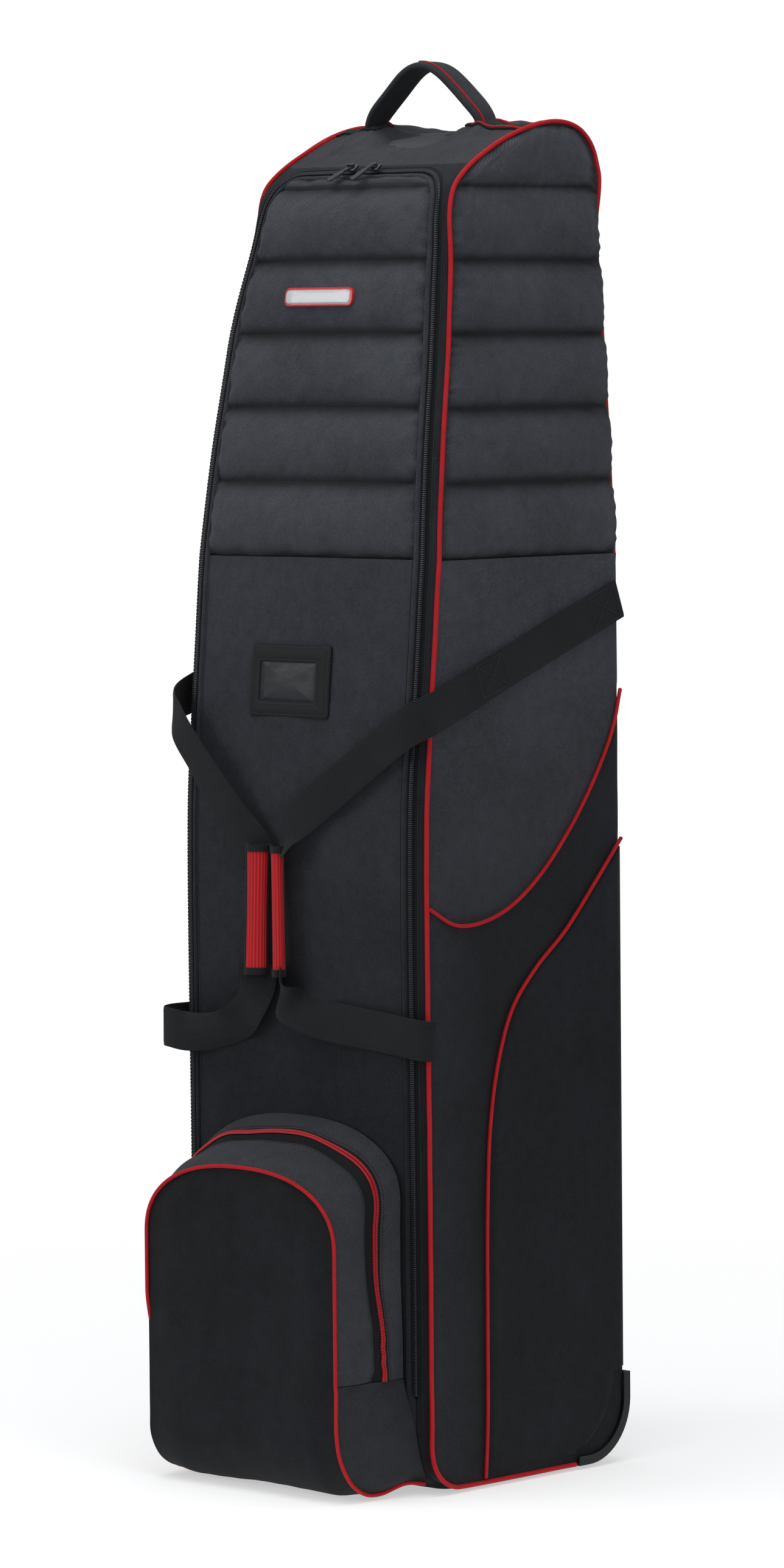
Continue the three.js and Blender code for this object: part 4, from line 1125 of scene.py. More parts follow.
def body_panels():
    for side, sign in SIDES.items():
        settle(side_panel(sign), "shell", [f"side_panel_{side}"])
    pair(wing_panel(), "wing_panel")
    settle(door_panel(), "door", ["door_panel"])
    settle(back_panel(), "shell", ["back_panel"])
    settle(floor_panel(), "shell", ["bottom_panel"])
    settle(top_panel(), "shell", ["top_panel"])


# ------------------------------------------------------------------ the main zip
RUN_COUNT, BEND_COUNT, ACROSS_COUNT = 230, 18, 28  # points up a side, round a bend, across
HALF_COUNT = RUN_COUNT + BEND_COUNT
# Distances outside the coil's line; negative ones are on the door.
SHELL_TAPE = (0.6, 5.8)
DOOR_TAPE = (-0.6, -5.4)
WELT_EDGES = (-4.6, -10.0)
GUSSET_EDGE = 5.6
STITCH_ROWS = ((-11.6, 0.55), (6.8, 0.9))  # distance and height of the door's and shell's rows


def zip_line(d, start_z):
    """x and s along the U of the zip, d millimetres outside its coil, right side first."""
    run = np.linspace(s_front(start_z), BEND_S, RUN_COUNT)
    angle = np.linspace(0, math.pi / 2, BEND_COUNT + 1)[1:]
    bend_s = BEND_S + (COIL_BEND_R + d) * np.sin(angle)
    straight = half_width(outline_z(run)) - COIL_MARGIN + d
    centre = half_width(outline_z(bend_s)) - COIL_MARGIN - COIL_BEND_R
    bend = centre + (COIL_BEND_R + d) * np.cos(angle)
    half_x, half_s = np.concatenate([straight, bend]), np.concatenate([run, bend_s])
    across = np.linspace(half_x[-1], -half_x[-1], ACROSS_COUNT + 2)[1:-1]
    x = np.concatenate([half_x, across, -half_x[::-1]])
    s = np.concatenate([half_s, np.full(ACROSS_COUNT, half_s[-1]), half_s[::-1]])
    return x, s


def rim_line(start_z):
    """The outer edge of the zip's gusset: the body's corners and the foot of the top panel."""
    x, s = zip_line(0, start_z)
    top = COIL_TOP_S + GUSSET_TOP
    corner_count = 9
    run_s = s[:RUN_COUNT]
    climb = np.linspace(BEND_S, top, corner_count + 1)[1:]
    side_s = np.concatenate([run_s, climb])
    side_x = half_width(outline_z(side_s)) - 1.2
    rest = BEND_COUNT - corner_count
    inner = x[HALF_COUNT - 1]
    turn_x = np.linspace(side_x[-1], inner, rest + 1)[1:]
    half_x = np.concatenate([side_x, turn_x])
    half_s = np.concatenate([side_s, np.full(rest, top)])
    across = np.linspace(half_x[-1], -half_x[-1], ACROSS_COUNT + 2)[1:-1]
    on_side = np.arange(HALF_COUNT) < HALF_COUNT - 4
    left_x = half_x - (FRONT_TURN - 1.2) * turned(outline_z(half_s)) * on_side
    out_x = np.concatenate([half_x, across, -left_x[::-1]])
    out_s = np.concatenate([half_s, np.full(ACROSS_COUNT, top), half_s[::-1]])
    return out_x, out_s


def zip_band(name, inner, outer, profile, material, columns=9, depth=1.4):
    """A strip between two lines on the front; profile gives its height across, from 0 to 1."""
    share = np.linspace(0, 1, columns)[None, :]
    x = inner[0][:, None] * (1 - share) + outer[0][:, None] * share
    s = inner[1][:, None] * (1 - share) + outer[1][:, None] * share
    away = surface_normal(s)
    top = surface(x, s) + away * profile(np.broadcast_to(share, x.shape), x, s)[..., None]
    under = surface(x, s) - away * depth
    run = np.concatenate([[0], np.cumsum(np.hypot(*np.diff(np.array(inner), axis=1)))])
    wide = np.linalg.norm(surface(x[0], s[0])[-1] - surface(x[0], s[0])[0])
    uv = np.stack([np.broadcast_to(run[:, None], x.shape),
                   np.broadcast_to(share * wide, x.shape)], -1) * MM
    return slab(name, top, under, uv, material)


def below_zip(d, start_z):
    """The zip's line at distance d, closing to the middle below the end of the coil."""
    open_x, s = zip_line(d, start_z)
    closed_x, _ = zip_line(0.5 * np.sign(d), start_z)
    share = smoothstep(outline_z(s), ZIP_END - 4, ZIP_END + 4)
    return closed_x * (1 - share) + open_x * share, s


def corner_wrap():
    """The gusset's turn over the left front corner, out to the piping on the side."""
    z = np.linspace(FLOOR + 16, 1243, 300)
    s = s_front(z)
    edge = -(half_width(z) - FRONT_TURN)
    start = surface(edge, s)
    size = FRONT_TURN * turned(z) * smoothstep(z, 20, 60)
    turn = np.linspace(0, math.pi / 2, 9)[None, :]
    x = -(half_width(z) - size)[:, None] - size[:, None] * np.sin(turn)
    lead = (start[:, 1] - front_y(z))[:, None] * (1 - turn / (math.pi / 2)) ** 2
    y = front_y(z)[:, None] + size[:, None] * (1 - np.cos(turn)) * 1.25 + lead
    tall = np.broadcast_to(z[:, None], x.shape)
    outer = np.stack([x, y, tall], -1)
    inner = outer + np.array([1.2, 1.2, 0])
    uv = np.stack([tall, turn * FRONT_TURN + 0 * x], -1) * MM
    return slab("gusset_corner_left", outer, inner, uv, DARK_CLOTH)


def main_zip():
    tape_end = ZIP_END - 2
    start = FLOOR + 4

    def flat(share, x, s):
        return 0.15 + 0 * share

    def fold(share, x, s):
        return 0.3 + 2.3 * np.sin(math.pi * share) ** 0.7 + 0.25 * rumple(x, s, 25, 81)

    def gutter(share, x, s):
        return 0.1 + 0.5 * np.sin(math.pi * share) + 0.35 * rumple(x, s, 34, 82)

    gusset = zip_band("zip_gusset", below_zip(GUSSET_EDGE, start), rim_line(start), gutter,
                      DARK_CLOTH)
    settle(gusset, "shell", ["zip_gusset"])
    settle(corner_wrap(), "shell", ())
    near, far = (zip_line(d, tape_end) for d in SHELL_TAPE)
    outer_tape = zip_band("zip_tape_shell", near, far, flat, TAPE, 5)
    settle(outer_tape, "shell", ())
    near, far = (zip_line(d, tape_end) for d in DOOR_TAPE)
    inner_tape = zip_band("zip_tape_door", near, far, flat, TAPE, 5)
    settle(inner_tape, "door", ["zip_tape_door"])
    near, far = below_zip(WELT_EDGES[0], start), zip_line(WELT_EDGES[1], start)
    welt = zip_band("door_welt", near, far, fold, CLOTH, 11)
    settle(welt, "door", ())

    x, s = zip_line(0, ZIP_END)
    path = surface(x, s, 1.5)
    spine, direction, away = stitch_line(path, surface_normal(s), 1.75)
    teeth = blocks("zip_coil", spine, direction, away, (1.05, 4.4, 1.9), COIL)
    settle(teeth, "shell", ["zip_coil"])

    rows = []
    for d, lift in STITCH_ROWS:
        x, s = zip_line(d, start + 60)
        rows.append(stitch_line(surface(x, s, lift), surface_normal(s)))
    stitches("door_stitches", rows[:1], "door")
    stitches("gusset_stitches", rows[1:], "shell")


# ------------------------------------------------------------------ pipings
PIPING_R = 2.3
THIN_PIPING_R = 1.9


def side_piping(sign):
    """Along the front corner, over the top and down the back; it leaves a turned-over corner."""
    s = np.arange(3, s_back(HOUSING_TOP + 3), 2.5)
    y, z = (np.interp(s, S, OUTLINE[:, k]) for k in (0, 1))
    ny, nz = (np.interp(s, S, OUTLINE_N[:, k]) for k in (0, 1))
    out = 1.2
    inward = turned(z) * (s > TOP_S)
    aside = turned(z) * (s < TOP_S) * smoothstep(z, 20, 60) * (sign < 0)
    out = out - (out + FRONT_SEAM - 1.0) * aside
    x = half_width(z) - REAR_SEAM * inward + 1.6 * aside + 0.35 * rumple(s, 0 * s, 60, 91)
    path = np.stack([x * sign, y + ny * out, z + nz * out], -1)
    name = sided("side_piping", sign)
    return cord(name, path, PIPING_R, RED_CORD, 14, lean=(sign, 0, 0))


def seam_piping(node, seam, sign):
    line = evenly(catmull(seam, 12), 2.5)
    line = line[line[:, 0] > front_y(line[:, 1]) + front_seam(line[:, 1], sign)]
    x = np.full(len(line), sign * (HALF_WIDTH + GAP + THIN_PIPING_R - 0.4))
    name = sided(node, sign)
    piece = cord(name, np.column_stack([x, line]), THIN_PIPING_R, RED_CORD, 12, lean=(1, 0, 0))
    settle(piece, "shell", [name])


def pipings():
    for side, sign in SIDES.items():
        settle(side_piping(sign), "shell", [f"side_piping_{side}"])
        seam_piping("lower_swoosh_piping", LOWER_SEAM, sign)
        seam_piping("upper_swoosh_piping", UPPER_SEAM, sign)


# ------------------------------------------------------------------ carry straps and grips
STRAP_W = 38.0
STRAP_T = 2.0


def strap(name, stops, width=STRAP_W):
    """Webbing through stops of (point, way its face looks)."""
    points = np.array([p for p, _ in stops], float)
    faces = unit(np.array([f for _, f in stops], float))
    dense = catmull(np.hstack([points, faces]), 14)
    dense = evenly(dense, 4.0)
    path, lean = dense[:, :3], unit(dense[:, 3:])
    wobble = rumple(np.arange(len(path)) * 4.0, np.zeros(len(path)), 70, len(name))
    path = path + lean * (0.6 * wobble * smoothstep(path[:, 1], -100, -140))[:, None]
    return tape(name, path, lean, width, STRAP_T, WEBBING, 11)


SIDE_OUT = (1, 0, 0)
FRONT_OUT = (0, -1, 0)
SIDE_X = HALF_WIDTH + 2.2


def carry_straps():
    right_upper = [((SIDE_X, 133, 839.5), SIDE_OUT), ((SIDE_X + 0.4, 60, 813), SIDE_OUT),
                   ((SIDE_X + 0.4, -20, 783), SIDE_OUT), ((SIDE_X + 1, -85, 758), SIDE_OUT),
                   ((SIDE_X + 3, -120, 746), (1, -0.15, 0)),
                   ((SIDE_X + 1, -143, 738), (0.75, -0.7, 0)),
                   ((152, -153, 730), (0.2, -1, 0)), ((130, -154, 717), FRONT_OUT),
                   ((105, -154, 701), FRONT_OUT), ((61, -156, 670), (0.05, -1, 0)),
                   ((24, -158, 645), (-0.1, -1, -0.1)), ((2, -161, 626), (-0.35, -0.9, -0.1)),
                   ((-8, -163, 604), (-0.7, -0.7, 0))]
    left_upper = [((-SIDE_X, 133, 839.5), (-1, 0, 0)), ((-SIDE_X, 60, 813), (-1, 0, 0)),
                  ((-SIDE_X, -20, 783), (-1, 0, 0)), ((-SIDE_X - 1, -75, 763), (-1, 0, 0)),
                  ((-SIDE_X - 5, -116, 750), (-1, -0.2, 0)), ((-168, -142, 738), (-0.8, -0.7, 0)),
                  ((-152, -155, 723), (-0.5, -0.85, 0.1)), ((-120, -160, 688), (-0.45, -0.85, 0.2)),
                  ((-92, -162, 658), (-0.4, -0.85, 0.3)), ((-66, -163, 630), (-0.2, -0.9, 0.3)),
                  ((-47, -163, 613), (0.2, -0.95, 0.1)), ((-36, -163, 598), (0.5, -0.87, 0))]
    right_lower = [((169, -140, 433), (0.85, -0.5, 0)), ((160, -149, 434), (0.45, -0.9, 0)),
                   ((146, -152, 436), FRONT_OUT),
                   ((120, -154, 439), FRONT_OUT), ((88, -155, 442), FRONT_OUT),
                   ((52, -157, 446), (0, -0.95, 0.3)), ((20, -160, 452), (-0.1, -0.75, 0.65)),
                   ((0, -162, 462), (-0.4, -0.7, 0.6)), ((-9, -163, 477), (-0.7, -0.65, 0.2)),
                   ((-9, -163, 496), (-0.73, -0.68, 0))]
    left_lower = [((-163, -108, 431), (-1, 0, 0)), ((-167, -126, 430), (-1, 0, 0)),
                  ((-175, -145, 429), (-0.97, -0.25, 0)),
                  ((-172, -158, 428), (-0.6, -0.8, 0)), ((-158, -162, 427), (-0.1, -1, 0)),
                  ((-138, -161, 425), (0.15, -1, 0)),
                  ((-104, -161, 428), (0.1, -0.9, -0.45)), ((-72, -162, 437), (-0.1, -0.8, -0.6)),
                  ((-52, -162, 454), (-0.2, -0.9, -0.3)), ((-41, -163, 474), (0.3, -0.93, 0)),
                  ((-38, -163, 496), (0.5, -0.87, 0))]
    upper = {"right": right_upper, "left": left_upper}
    lower = {"right": right_lower, "left": left_lower}
    for side, sign in SIDES.items():
        piece = strap(f"strap_upper_{side}", upper[side])
        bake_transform(piece)
        stand_in([f"strap_upper_{side}", f"strap_anchor_{side}"])
        piece = strap(f"strap_lower_{side}", lower[side])
        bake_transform(piece)
        stand_in([f"strap_lower_{side}"])
    box_stitches()
    grip("left", (-40, -164), (-36, -164), (0.5, -0.87))
    grip("right", (-10, -164), (-11, -164), (-0.73, -0.68))


def box_stitches():
    """The sewn boxes that hold each strap's fixed run to the side."""
    for side, sign in SIDES.items():
        lines = []
        along, up = unit(np.array([0, -228.0, -78.0])), np.array([0.0, 0.34, -0.94])
        for start in (np.array([0, 128.0, 838.0]), np.array([0, -32.0, 779.0])):
            a, b = start + up * -16, start + up * 16
            c, d = b + along * STRAP_W, a + along * STRAP_W
            for first, last in ((a, b), (b, c), (c, d), (d, a), (a, c), (b, d)):
                path = evenly(np.array([first, last]), 2.0)
                path[:, 0] = sign * (SIDE_X + 1.7)
                lines.append(stitch_line(path, (sign, 0, 0), 3.2))
        stitches(f"strap_box_stitches_{side}", lines, "shell")


def grip(side, low, high, facing):
    """A flattened padded tube round both webbings, bound in black at its ends."""
    z_low = corner(f"grip_{side}", False)[2] - 7
    z_high = corner(f"grip_{side}", True)[2] + 9
    face = unit(np.array([facing[0], facing[1], 0.0]))
    wide = np.cross(face, [0, 0, 1.0])
    z = np.linspace(z_low, z_high, 56)
    share = (z - z_low) / (z_high - z_low)
    centre = np.array([(*low, 0)]) * (1 - share)[:, None] + np.array([(*high, 0)]) * share[:, None]
    centre[:, 2] = z
    turn = np.linspace(0, 2 * math.pi, 40, endpoint=False)
    waist = 1 - 0.06 * np.sin(math.pi * share)
    half, thick = 10.8 * waist, 6.2 * waist

    def shell(first, last, grow, name, material):
        keep = (share >= first) & (share <= last)
        c, h, t = centre[keep], half[keep] + grow, thick[keep] + grow
        ring = (c[:, None] + wide * np.cos(turn)[None, :, None] * h[:, None, None]
                + face * (np.sign(np.sin(turn)) * abs(np.sin(turn)) ** 0.7)[None, :, None]
                * t[:, None, None])
        inner = c[:, None] + (ring - c[:, None]) * 0.8
        outer_ring = np.concatenate([ring, ring[:, :1]], 1)
        inner_ring = np.concatenate([inner, inner[:, :1]], 1)
        around = np.concatenate([turn, [2 * math.pi]]) * 9.0
        uv = np.stack(np.meshgrid(c[:, 2], around, indexing="ij"), -1) * MM
        piece = slab(name, outer_ring, inner_ring, uv, material)
        weld(piece)
        return piece

    body = f"strap_{side}"
    settle(shell(0.03, 0.97, 0, f"grip_{side}", GRIP), body, [f"grip_{side}"])
    settle(shell(0, 0.07, 0.9, f"grip_band_low_{side}", BINDING), body, ())
    settle(shell(0.93, 1, 0.9, f"grip_band_high_{side}", BINDING), body, ())
    for edge, sign in (("a", 1), ("b", -1)) if side == "left" else ():
        path = centre + wide * (half * sign)[:, None] * 0.97
        piece = cord(f"grip_edge_{edge}_{side}", path, 2.4, BINDING, 10, lean=face)
        settle(piece, body, ())


def weld(piece):
    """Joins points that lie on each other, such as the two ends of a ring."""
    work = bmesh.new()
    work.from_mesh(piece.data)
    bmesh.ops.remove_doubles(work, verts=work.verts, dist=1e-6)
    inside = [f for f in work.faces if all(len(e.link_faces) > 2 for e in f.edges)]
    bmesh.ops.delete(work, geom=inside, context="FACES")
    work.to_mesh(piece.data)
    work.free()


# ------------------------------------------------------------------ top handle
HANDLE_TOP = corner("handle_grip", True)[2]
HANDLE_HALF = 16.5


def handle_path():
    rise = HANDLE_TOP - 2.0
    stops = [(-HANDLE_X - 4, rise - 61), (-HANDLE_X + 2, rise - 49), (-44, rise - 24),
             (-21, rise - 4.5), (-7, rise + 1.0), (7, rise + 1.0), (21, rise - 4.5),
             (44, rise - 22), (HANDLE_X - 2, rise - 47), (HANDLE_X + 4, rise - 58)]
    line = evenly(catmull(np.array(stops, float), 14), 3.0)
    return np.column_stack([line[:, 0], np.full(len(line), HANDLE_Y), line[:, 1]])


def handle():
    path = handle_path()
    along = tangents(path)
    out = np.column_stack([-along[:, 2], 0 * along[:, 0], along[:, 0]])
    turn = np.linspace(0, 2 * math.pi, 28, endpoint=False)
    share = np.linspace(0, 1, len(path))
    width = HANDLE_HALF * (0.8 + 0.2 * smoothstep(np.minimum(share, 1 - share), 0, 0.15))
    thick = 4.4
    power = lambda v: np.sign(v) * abs(v) ** 0.6
    ring = (path[:, None] + out[:, None] * (power(np.sin(turn)) * thick)[None, :, None]
            + np.array([0, 1.0, 0]) * power(np.cos(turn))[None, :, None] * width[:, None, None])
    points = ring.reshape(-1, 3)
    count = len(turn)
    faces = tube_faces(len(path), count) + end_faces(len(path), count)
    run = lengths(path)
    uv = [(u * MM, a * 10 * MM) for u in run for a in turn]
    piece = build("handle_grip", points, faces, [NEOPRENE], uv, angle=70)
    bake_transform(piece)
    stand_in(["handle_grip"])
    edge = path + out * 4.2
    edge[:, 1] -= width - 5.5
    edge = edge[edge[:, 0] > -4]
    trim = cord("handle_trim", edge, 1.0, RED_CORD, 8, lean=(0, 1, 0))
    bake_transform(trim)
    stand_in(())


def base_straps():
    """The straps from the handle's feet over the top panel to the side seams, with red edges."""
    middle = S[LOW + np.argmax((OUTLINE[LOW:, 0] >= HANDLE_Y) & (OUTLINE[LOW:, 1] > SHOULDER))]
    reach = half_width(outline_z(middle)) - 0.5
    across, run = np.linspace(-1, 1, 11)[None, :] * 14, np.linspace(HANDLE_X - 12, reach, 40)
    for side, sign in SIDES.items():
        x, s = np.broadcast_arrays(sign * run[:, None], middle + across)
        height = top_relief(x, s)
        away = surface_normal(s)
        outer = surface(x, s) + away * (height + 2.0)[..., None]
        inner = surface(x, s) + away * (height - 0.5)[..., None]
        nodes = ["handle_base_strap"] if sign > 0 else []
        uv = np.stack([x, s - middle], -1) * MM
        settle(slab(f"handle_base_strap_{side}", outer, inner, uv, WEBBING), "shell", nodes)
        for name, column in (("front", 1), ("rear", -2)) if sign > 0 else (("rear", -2),):
            trim = cord(f"base_strap_trim_{name}_{side}", evenly(outer[:, column], 2.5), 1.1,
                        RED_CORD, 8, lean=(0, 0, 1))
            settle(trim, "shell", ())


# ------------------------------------------------------------------ front pocket
POCKET_BACK = -150.2
POCKET_ZIP = corner("pocket_zip_coil", True)[1] - 4.4
POCKET_FACE = corner("pocket_flap", False)[1]
FOLD = joint_point("pocket_flap_hinge")[2]
BASE_ARCH = (134.0, 276.0, 78.0)  # half width, height of the arch's spring line, its rise
FACE_ARCH = (124.0, 238.0, 72.0)


def squared(a):
    """Cosine and sine of a slightly squared arch."""
    c, t = np.cos(a), np.sin(a)
    return np.sign(c) * abs(c) ** 0.86, abs(t) ** 0.86


def arch(depth, grow=0.0):
    """Points along the pocket's arch, from the right fold over to the left, at a depth 0..1."""
    half, spring, rise = (np.array(BASE_ARCH) * (1 - depth) + np.array(FACE_ARCH) * depth)
    half, rise = half + grow, rise + grow
    run = np.linspace(FOLD + 1.0, spring, 42, endpoint=False)
    c, t = squared(np.linspace(0, math.pi, 67))
    x = np.concatenate([np.full(42, half), half * c, np.full(42, -half)])
    z = np.concatenate([run, spring + rise * t, run[::-1]])
    return x, z


def gusset_point(depth, grow=0.0):
    """The pocket's soft gusset: it sags in towards the middle of its depth."""
    x, z = arch(depth, grow)
    y = POCKET_BACK + (POCKET_FACE - POCKET_BACK) * depth
    x = x.copy()
    belly = math.exp(-(((depth - 0.36) / 0.3) ** 2))
    side = smoothstep(z, 140, 215) * (1 - smoothstep(z, 250, 330))
    x -= np.where(x > 0, 1, 0) * 9.0 * belly * side
    z = z - 3.0 * belly * smoothstep(z, 280, 340)
    wrinkle = rumple(z * 0.5 + x, np.full_like(z, y * 1.6), 55, 101)
    low_end = (1 - smoothstep(z, 120, 190)) * (1 - smoothstep(depth, 0.45, 0.7))
    wrinkle = wrinkle + 1.3 * low_end * rumple(z + x * 0.4, np.full_like(z, y * 0.5), 19, 102)
    away = np.stack([x / 134, np.zeros_like(x), smoothstep(z, 240, 330)], -1)
    place = np.stack([x, np.full_like(x, y), z], -1)
    fade = min(1.0, 6 * depth * (1 - depth))
    return place + unit(away) * (1.5 * fade * wrinkle)[:, None]


def pocket_band(name, first, last, cloth, columns, lift=0.0, depth_mm=1.6, puff=0.0):
    """A strip of the gusset between two depths."""
    shares = np.linspace(first, last, columns)
    swell_by = puff * np.sin(math.pi * np.linspace(0, 1, columns))
    outer = np.stack([gusset_point(d, lift + p) for d, p in zip(shares, swell_by)], 1)
    inner = np.stack([gusset_point(d, lift - depth_mm) for d in shares], 1)
    run = lengths(outer[:, 0])
    deep = shares * (POCKET_BACK - POCKET_FACE)
    uv = np.stack(np.meshgrid(run, deep, indexing="ij"), -1) * MM
    return slab(name, outer, inner, uv, cloth, LINING)


def depth_at(y):
    return (y - POCKET_BACK) / (POCKET_FACE - POCKET_BACK)


UNDER_EDGE = np.array([(124, -231, 110), (124, -231, 67), (126, -228, 42), (127, -215, 20),
                       (127, -196, 8), (128, -177, 6), (134, -148, 13), (140, -128, 11)], float)


def pocket_front():
    """The face and underside as one sheet: arched at the top, rolled under at the bottom."""
    half, spring, rise = FACE_ARCH
    up = np.linspace(math.pi / 2, 0, 34, endpoint=False)
    arch_rows = [(half * c, POCKET_FACE, spring + rise * t) for c, t in zip(*squared(up))]
    straight = [(half, POCKET_FACE, z) for z in np.linspace(spring, 114, 34)]
    under = evenly(catmull(UNDER_EDGE, 12), 3.6)
    rows = np.vstack([arch_rows[1:], straight, under])
    share = np.linspace(-1, 1, 60)[None, :]
    x = rows[:, :1] * share
    y = np.broadcast_to(rows[:, 1:2], x.shape).copy()
    z = np.broadcast_to(rows[:, 2:3], x.shape).copy()
    edge = np.minimum(rows[:, :1] - abs(x), 200)
    apex = spring + rise - z
    soft = smoothstep(np.minimum(edge, np.maximum(apex, 0) * 1.5), 0, 34)
    tilt = unit(np.stack([0 * rows[:, 0], -np.gradient(rows[:, 2]), np.gradient(rows[:, 1])], -1))
    tilt[: len(arch_rows) + len(straight)] = (0, -1, 0)
    bulge = soft * (3.4 + 1.5 * rumple(x, z + y, 120, 111)) + 0.35 * soft * rumple(x, z, 36, 112)
    tilt = np.where(tilt[:, 1:2] + tilt[:, 2:3] > 0, -tilt, tilt)[:, None]
    grid = np.stack([x, y, z], -1)
    fade = 1 - 0.6 * smoothstep(y[:, :1], -200, -150)
    outer = grid + tilt * (bulge * fade)[..., None]
    inner = grid - tilt * 2.0
    run = lengths(rows)
    uv = np.stack([x, np.broadcast_to(-run[:, None], x.shape)], -1) * MM
    return slab("pocket_front", outer, inner, uv, DARK_CLOTH, LINING)


def pocket_side(sign):
    """The dobby piece below the zip on one side, slack between the face and the door."""
    edge = evenly(catmull(UNDER_EDGE, 12), 3.0)
    edge[0, 2] = FOLD
    edge = edge[edge[:, 2] <= FOLD + 0.5]
    n = len(edge)
    back = catmull(np.array([(134, -150, FOLD), (139, -149, 92), (145, -146, 66), (147, -142, 40),
                             (145, -134, 22), (141, -127, 12)], float), 12)
    share = np.linspace(0, 1, n)
    run = lengths(back) / lengths(back)[-1]
    back = np.stack([np.interp(share, run, c) for c in back.T], -1)
    across = np.linspace(0, 1, 30)[None, :, None]
    grid = edge[:, None] * (1 - across) + back[:, None] * across
    away = np.array([0.96, 0.0, -0.27])
    v = share[:, None]
    belly = np.sin(math.pi * across[..., 0])
    sag = belly * (2.5 * np.sin(math.pi * v) + 2.0 * rumple(v * 130, across[..., 0] * 60, 46, 121))
    outer = grid + away * sag[..., None]
    inner = grid - away * 1.6
    uv = np.stack(np.broadcast_arrays(across[..., 0] * 80, v * 170), -1) * MM
    outer[..., 0] *= sign
    inner[..., 0] *= sign
    name = sided("pocket_side", sign)
    # the darker copy of the dobby here is painted shade below the pocket's zip
    return slab(name, outer, inner, uv, SHADED_DOBBY, LINING)


def follow_flap(piece, nodes=()):
    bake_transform(piece)
    stand_in(nodes)


def pocket():
    coil_depth = depth_at(POCKET_ZIP + 2.4)
    # the gussets' dobby is kept bright as painted light where they face up and out into the light
    rear = pocket_band("pocket_back_gusset", 0.0, depth_at(POCKET_ZIP + 8), DOBBY, 10, 0, 1.6, 0.8)
    settle(rear, "door", ["pocket_back_gusset"])
    rear_tape = pocket_band("pocket_zip_tape_rear", depth_at(POCKET_ZIP + 8.2),
                            depth_at(POCKET_ZIP + 3.0), TAPE, 4, -0.3, 1.0)
    settle(rear_tape, "door", ())
    front_tape = pocket_band("pocket_zip_tape_front", depth_at(POCKET_ZIP + 1.6),
                             depth_at(POCKET_ZIP - 10), TAPE, 7, -0.3, 1.0)
    follow_flap(front_tape, ())
    gusset = pocket_band("pocket_front_gusset", depth_at(POCKET_ZIP - 9.8), 0.985, DOBBY, 16, 0,
                         1.6, 1.6)
    follow_flap(gusset, ())

    teeth = []
    for offset in (1.35, -1.35):
        path = gusset_point(coil_depth + offset / (POCKET_FACE - POCKET_BACK), 1.1)
        path = evenly(path, 1.45)
        along = tangents(path)
        up = unit(np.cross(along, np.array([0, 1.0, 0])))
        up = np.where((up * (path - [0, 0, 200])).sum(1, keepdims=True) < 0, -up, up)
        teeth.append((path, along, up))
    centres, along, up = (np.vstack(v) for v in zip(*teeth))
    coil = blocks("pocket_zip_coil", centres, along, up, (1.15, 2.2, 1.8), RED_COIL)
    settle(coil, "door", ["pocket_zip_coil"])

    follow_flap(pocket_front(), ["pocket_flap", "pocket_lower"])
    for sign in (RIGHT, LEFT):
        settle(pocket_side(sign), "door", ())
    x, z = arch(1.0, 0.4)
    top = np.stack([x, np.full_like(x, POCKET_FACE - 1.6), z], -1)
    under = evenly(catmull(UNDER_EDGE, 12), 2.5)[1:]
    under = under + np.array([1.2, -0.8, -0.6])
    under[:, 1] -= 0.8 * smoothstep(under[:, 2], 30, 60)
    left = under * [-1, 1, 1]
    path = evenly(np.vstack([under[::-1], top, left]), 2.5)
    hidden = (path[:, 0] < 0) * (1 - smoothstep(path[:, 2], 120, 185))
    path = path + hidden[:, None] * np.array([2.5, 7.0, 0])
    piping = cord("pocket_piping", path, THIN_PIPING_R, RED_CORD, 12, lean=(0, -1, 0.02))
    follow_flap(piping, ["pocket_piping_flap", "pocket_piping_lower"])

    rows = []
    for depth, grow in ((depth_at(POCKET_ZIP + 9.8), 0.75), (depth_at(POCKET_ZIP - 11.6), 0.75)):
        path = gusset_point(depth, grow)
        away = np.stack([path[:, 0], 0 * path[:, 0], np.maximum(0, path[:, 2] - 250)], -1)
        rows.append(stitch_line(path, unit(away)))
    stitches("pocket_stitches_rear", rows[:1], "door")
    centres, along, up = rows[1]
    follow_flap(blocks("pocket_stitches_front", centres, along, up, STITCH, THREAD), ())


# ------------------------------------------------------------------ sliders and pulls
def rounded_block(work, size, centre, radius, segments=3):
    made = bmesh.ops.create_cube(work, size=1.0, matrix=Matrix.Translation(centre)
                                 @ Matrix.Diagonal((*size, 1)))
    edges = list({e for v in made["verts"] for e in v.link_edges})
    bmesh.ops.bevel(work, geom=edges, offset=radius, segments=segments, affect="EDGES",
                    profile=0.6)


def from_work(name, work, matrix, material):
    mesh = bpy.data.meshes.new(name)
    work.to_mesh(mesh)
    work.free()
    mesh.transform(matrix)
    mesh.materials.append(material)
    mesh.shade_smooth()
    mesh.set_sharp_from_angle(angle=math.radians(40))
    return shown(name, mesh)


def seat(origin, right, out):
    """A matrix that places a small piece drawn in its own plane, in millimetres."""
    out, right = unit(np.asarray(out, float)), unit(np.asarray(right, float))
    up = np.cross(out, right)
    turn = np.eye(4)
    turn[:3, 0], turn[:3, 1], turn[:3, 2], turn[:3, 3] = right, up, out, origin
    turn[:3] *= MM
    return Matrix(turn.tolist())


def slider(name, matrix):
    """A zip slider: two flared cheeks over the coil and a bridge that holds the pull."""
    work = bmesh.new()
    rounded_block(work, (12.5, 8.4, 2.6), (0, 0, 1.5), 0.9)
    rounded_block(work, (5.0, 9.6, 2.2), (3.4, 0, 1.4), 0.9)
    rounded_block(work, (8.4, 2.6, 1.3), (0, 0, 6.0), 0.5)
    for x in (-3.4, 3.4):
        rounded_block(work, (1.6, 2.4, 3.4), (x, 0, 4.2), 0.4)
    return from_work(name, work, matrix, GUNMETAL)


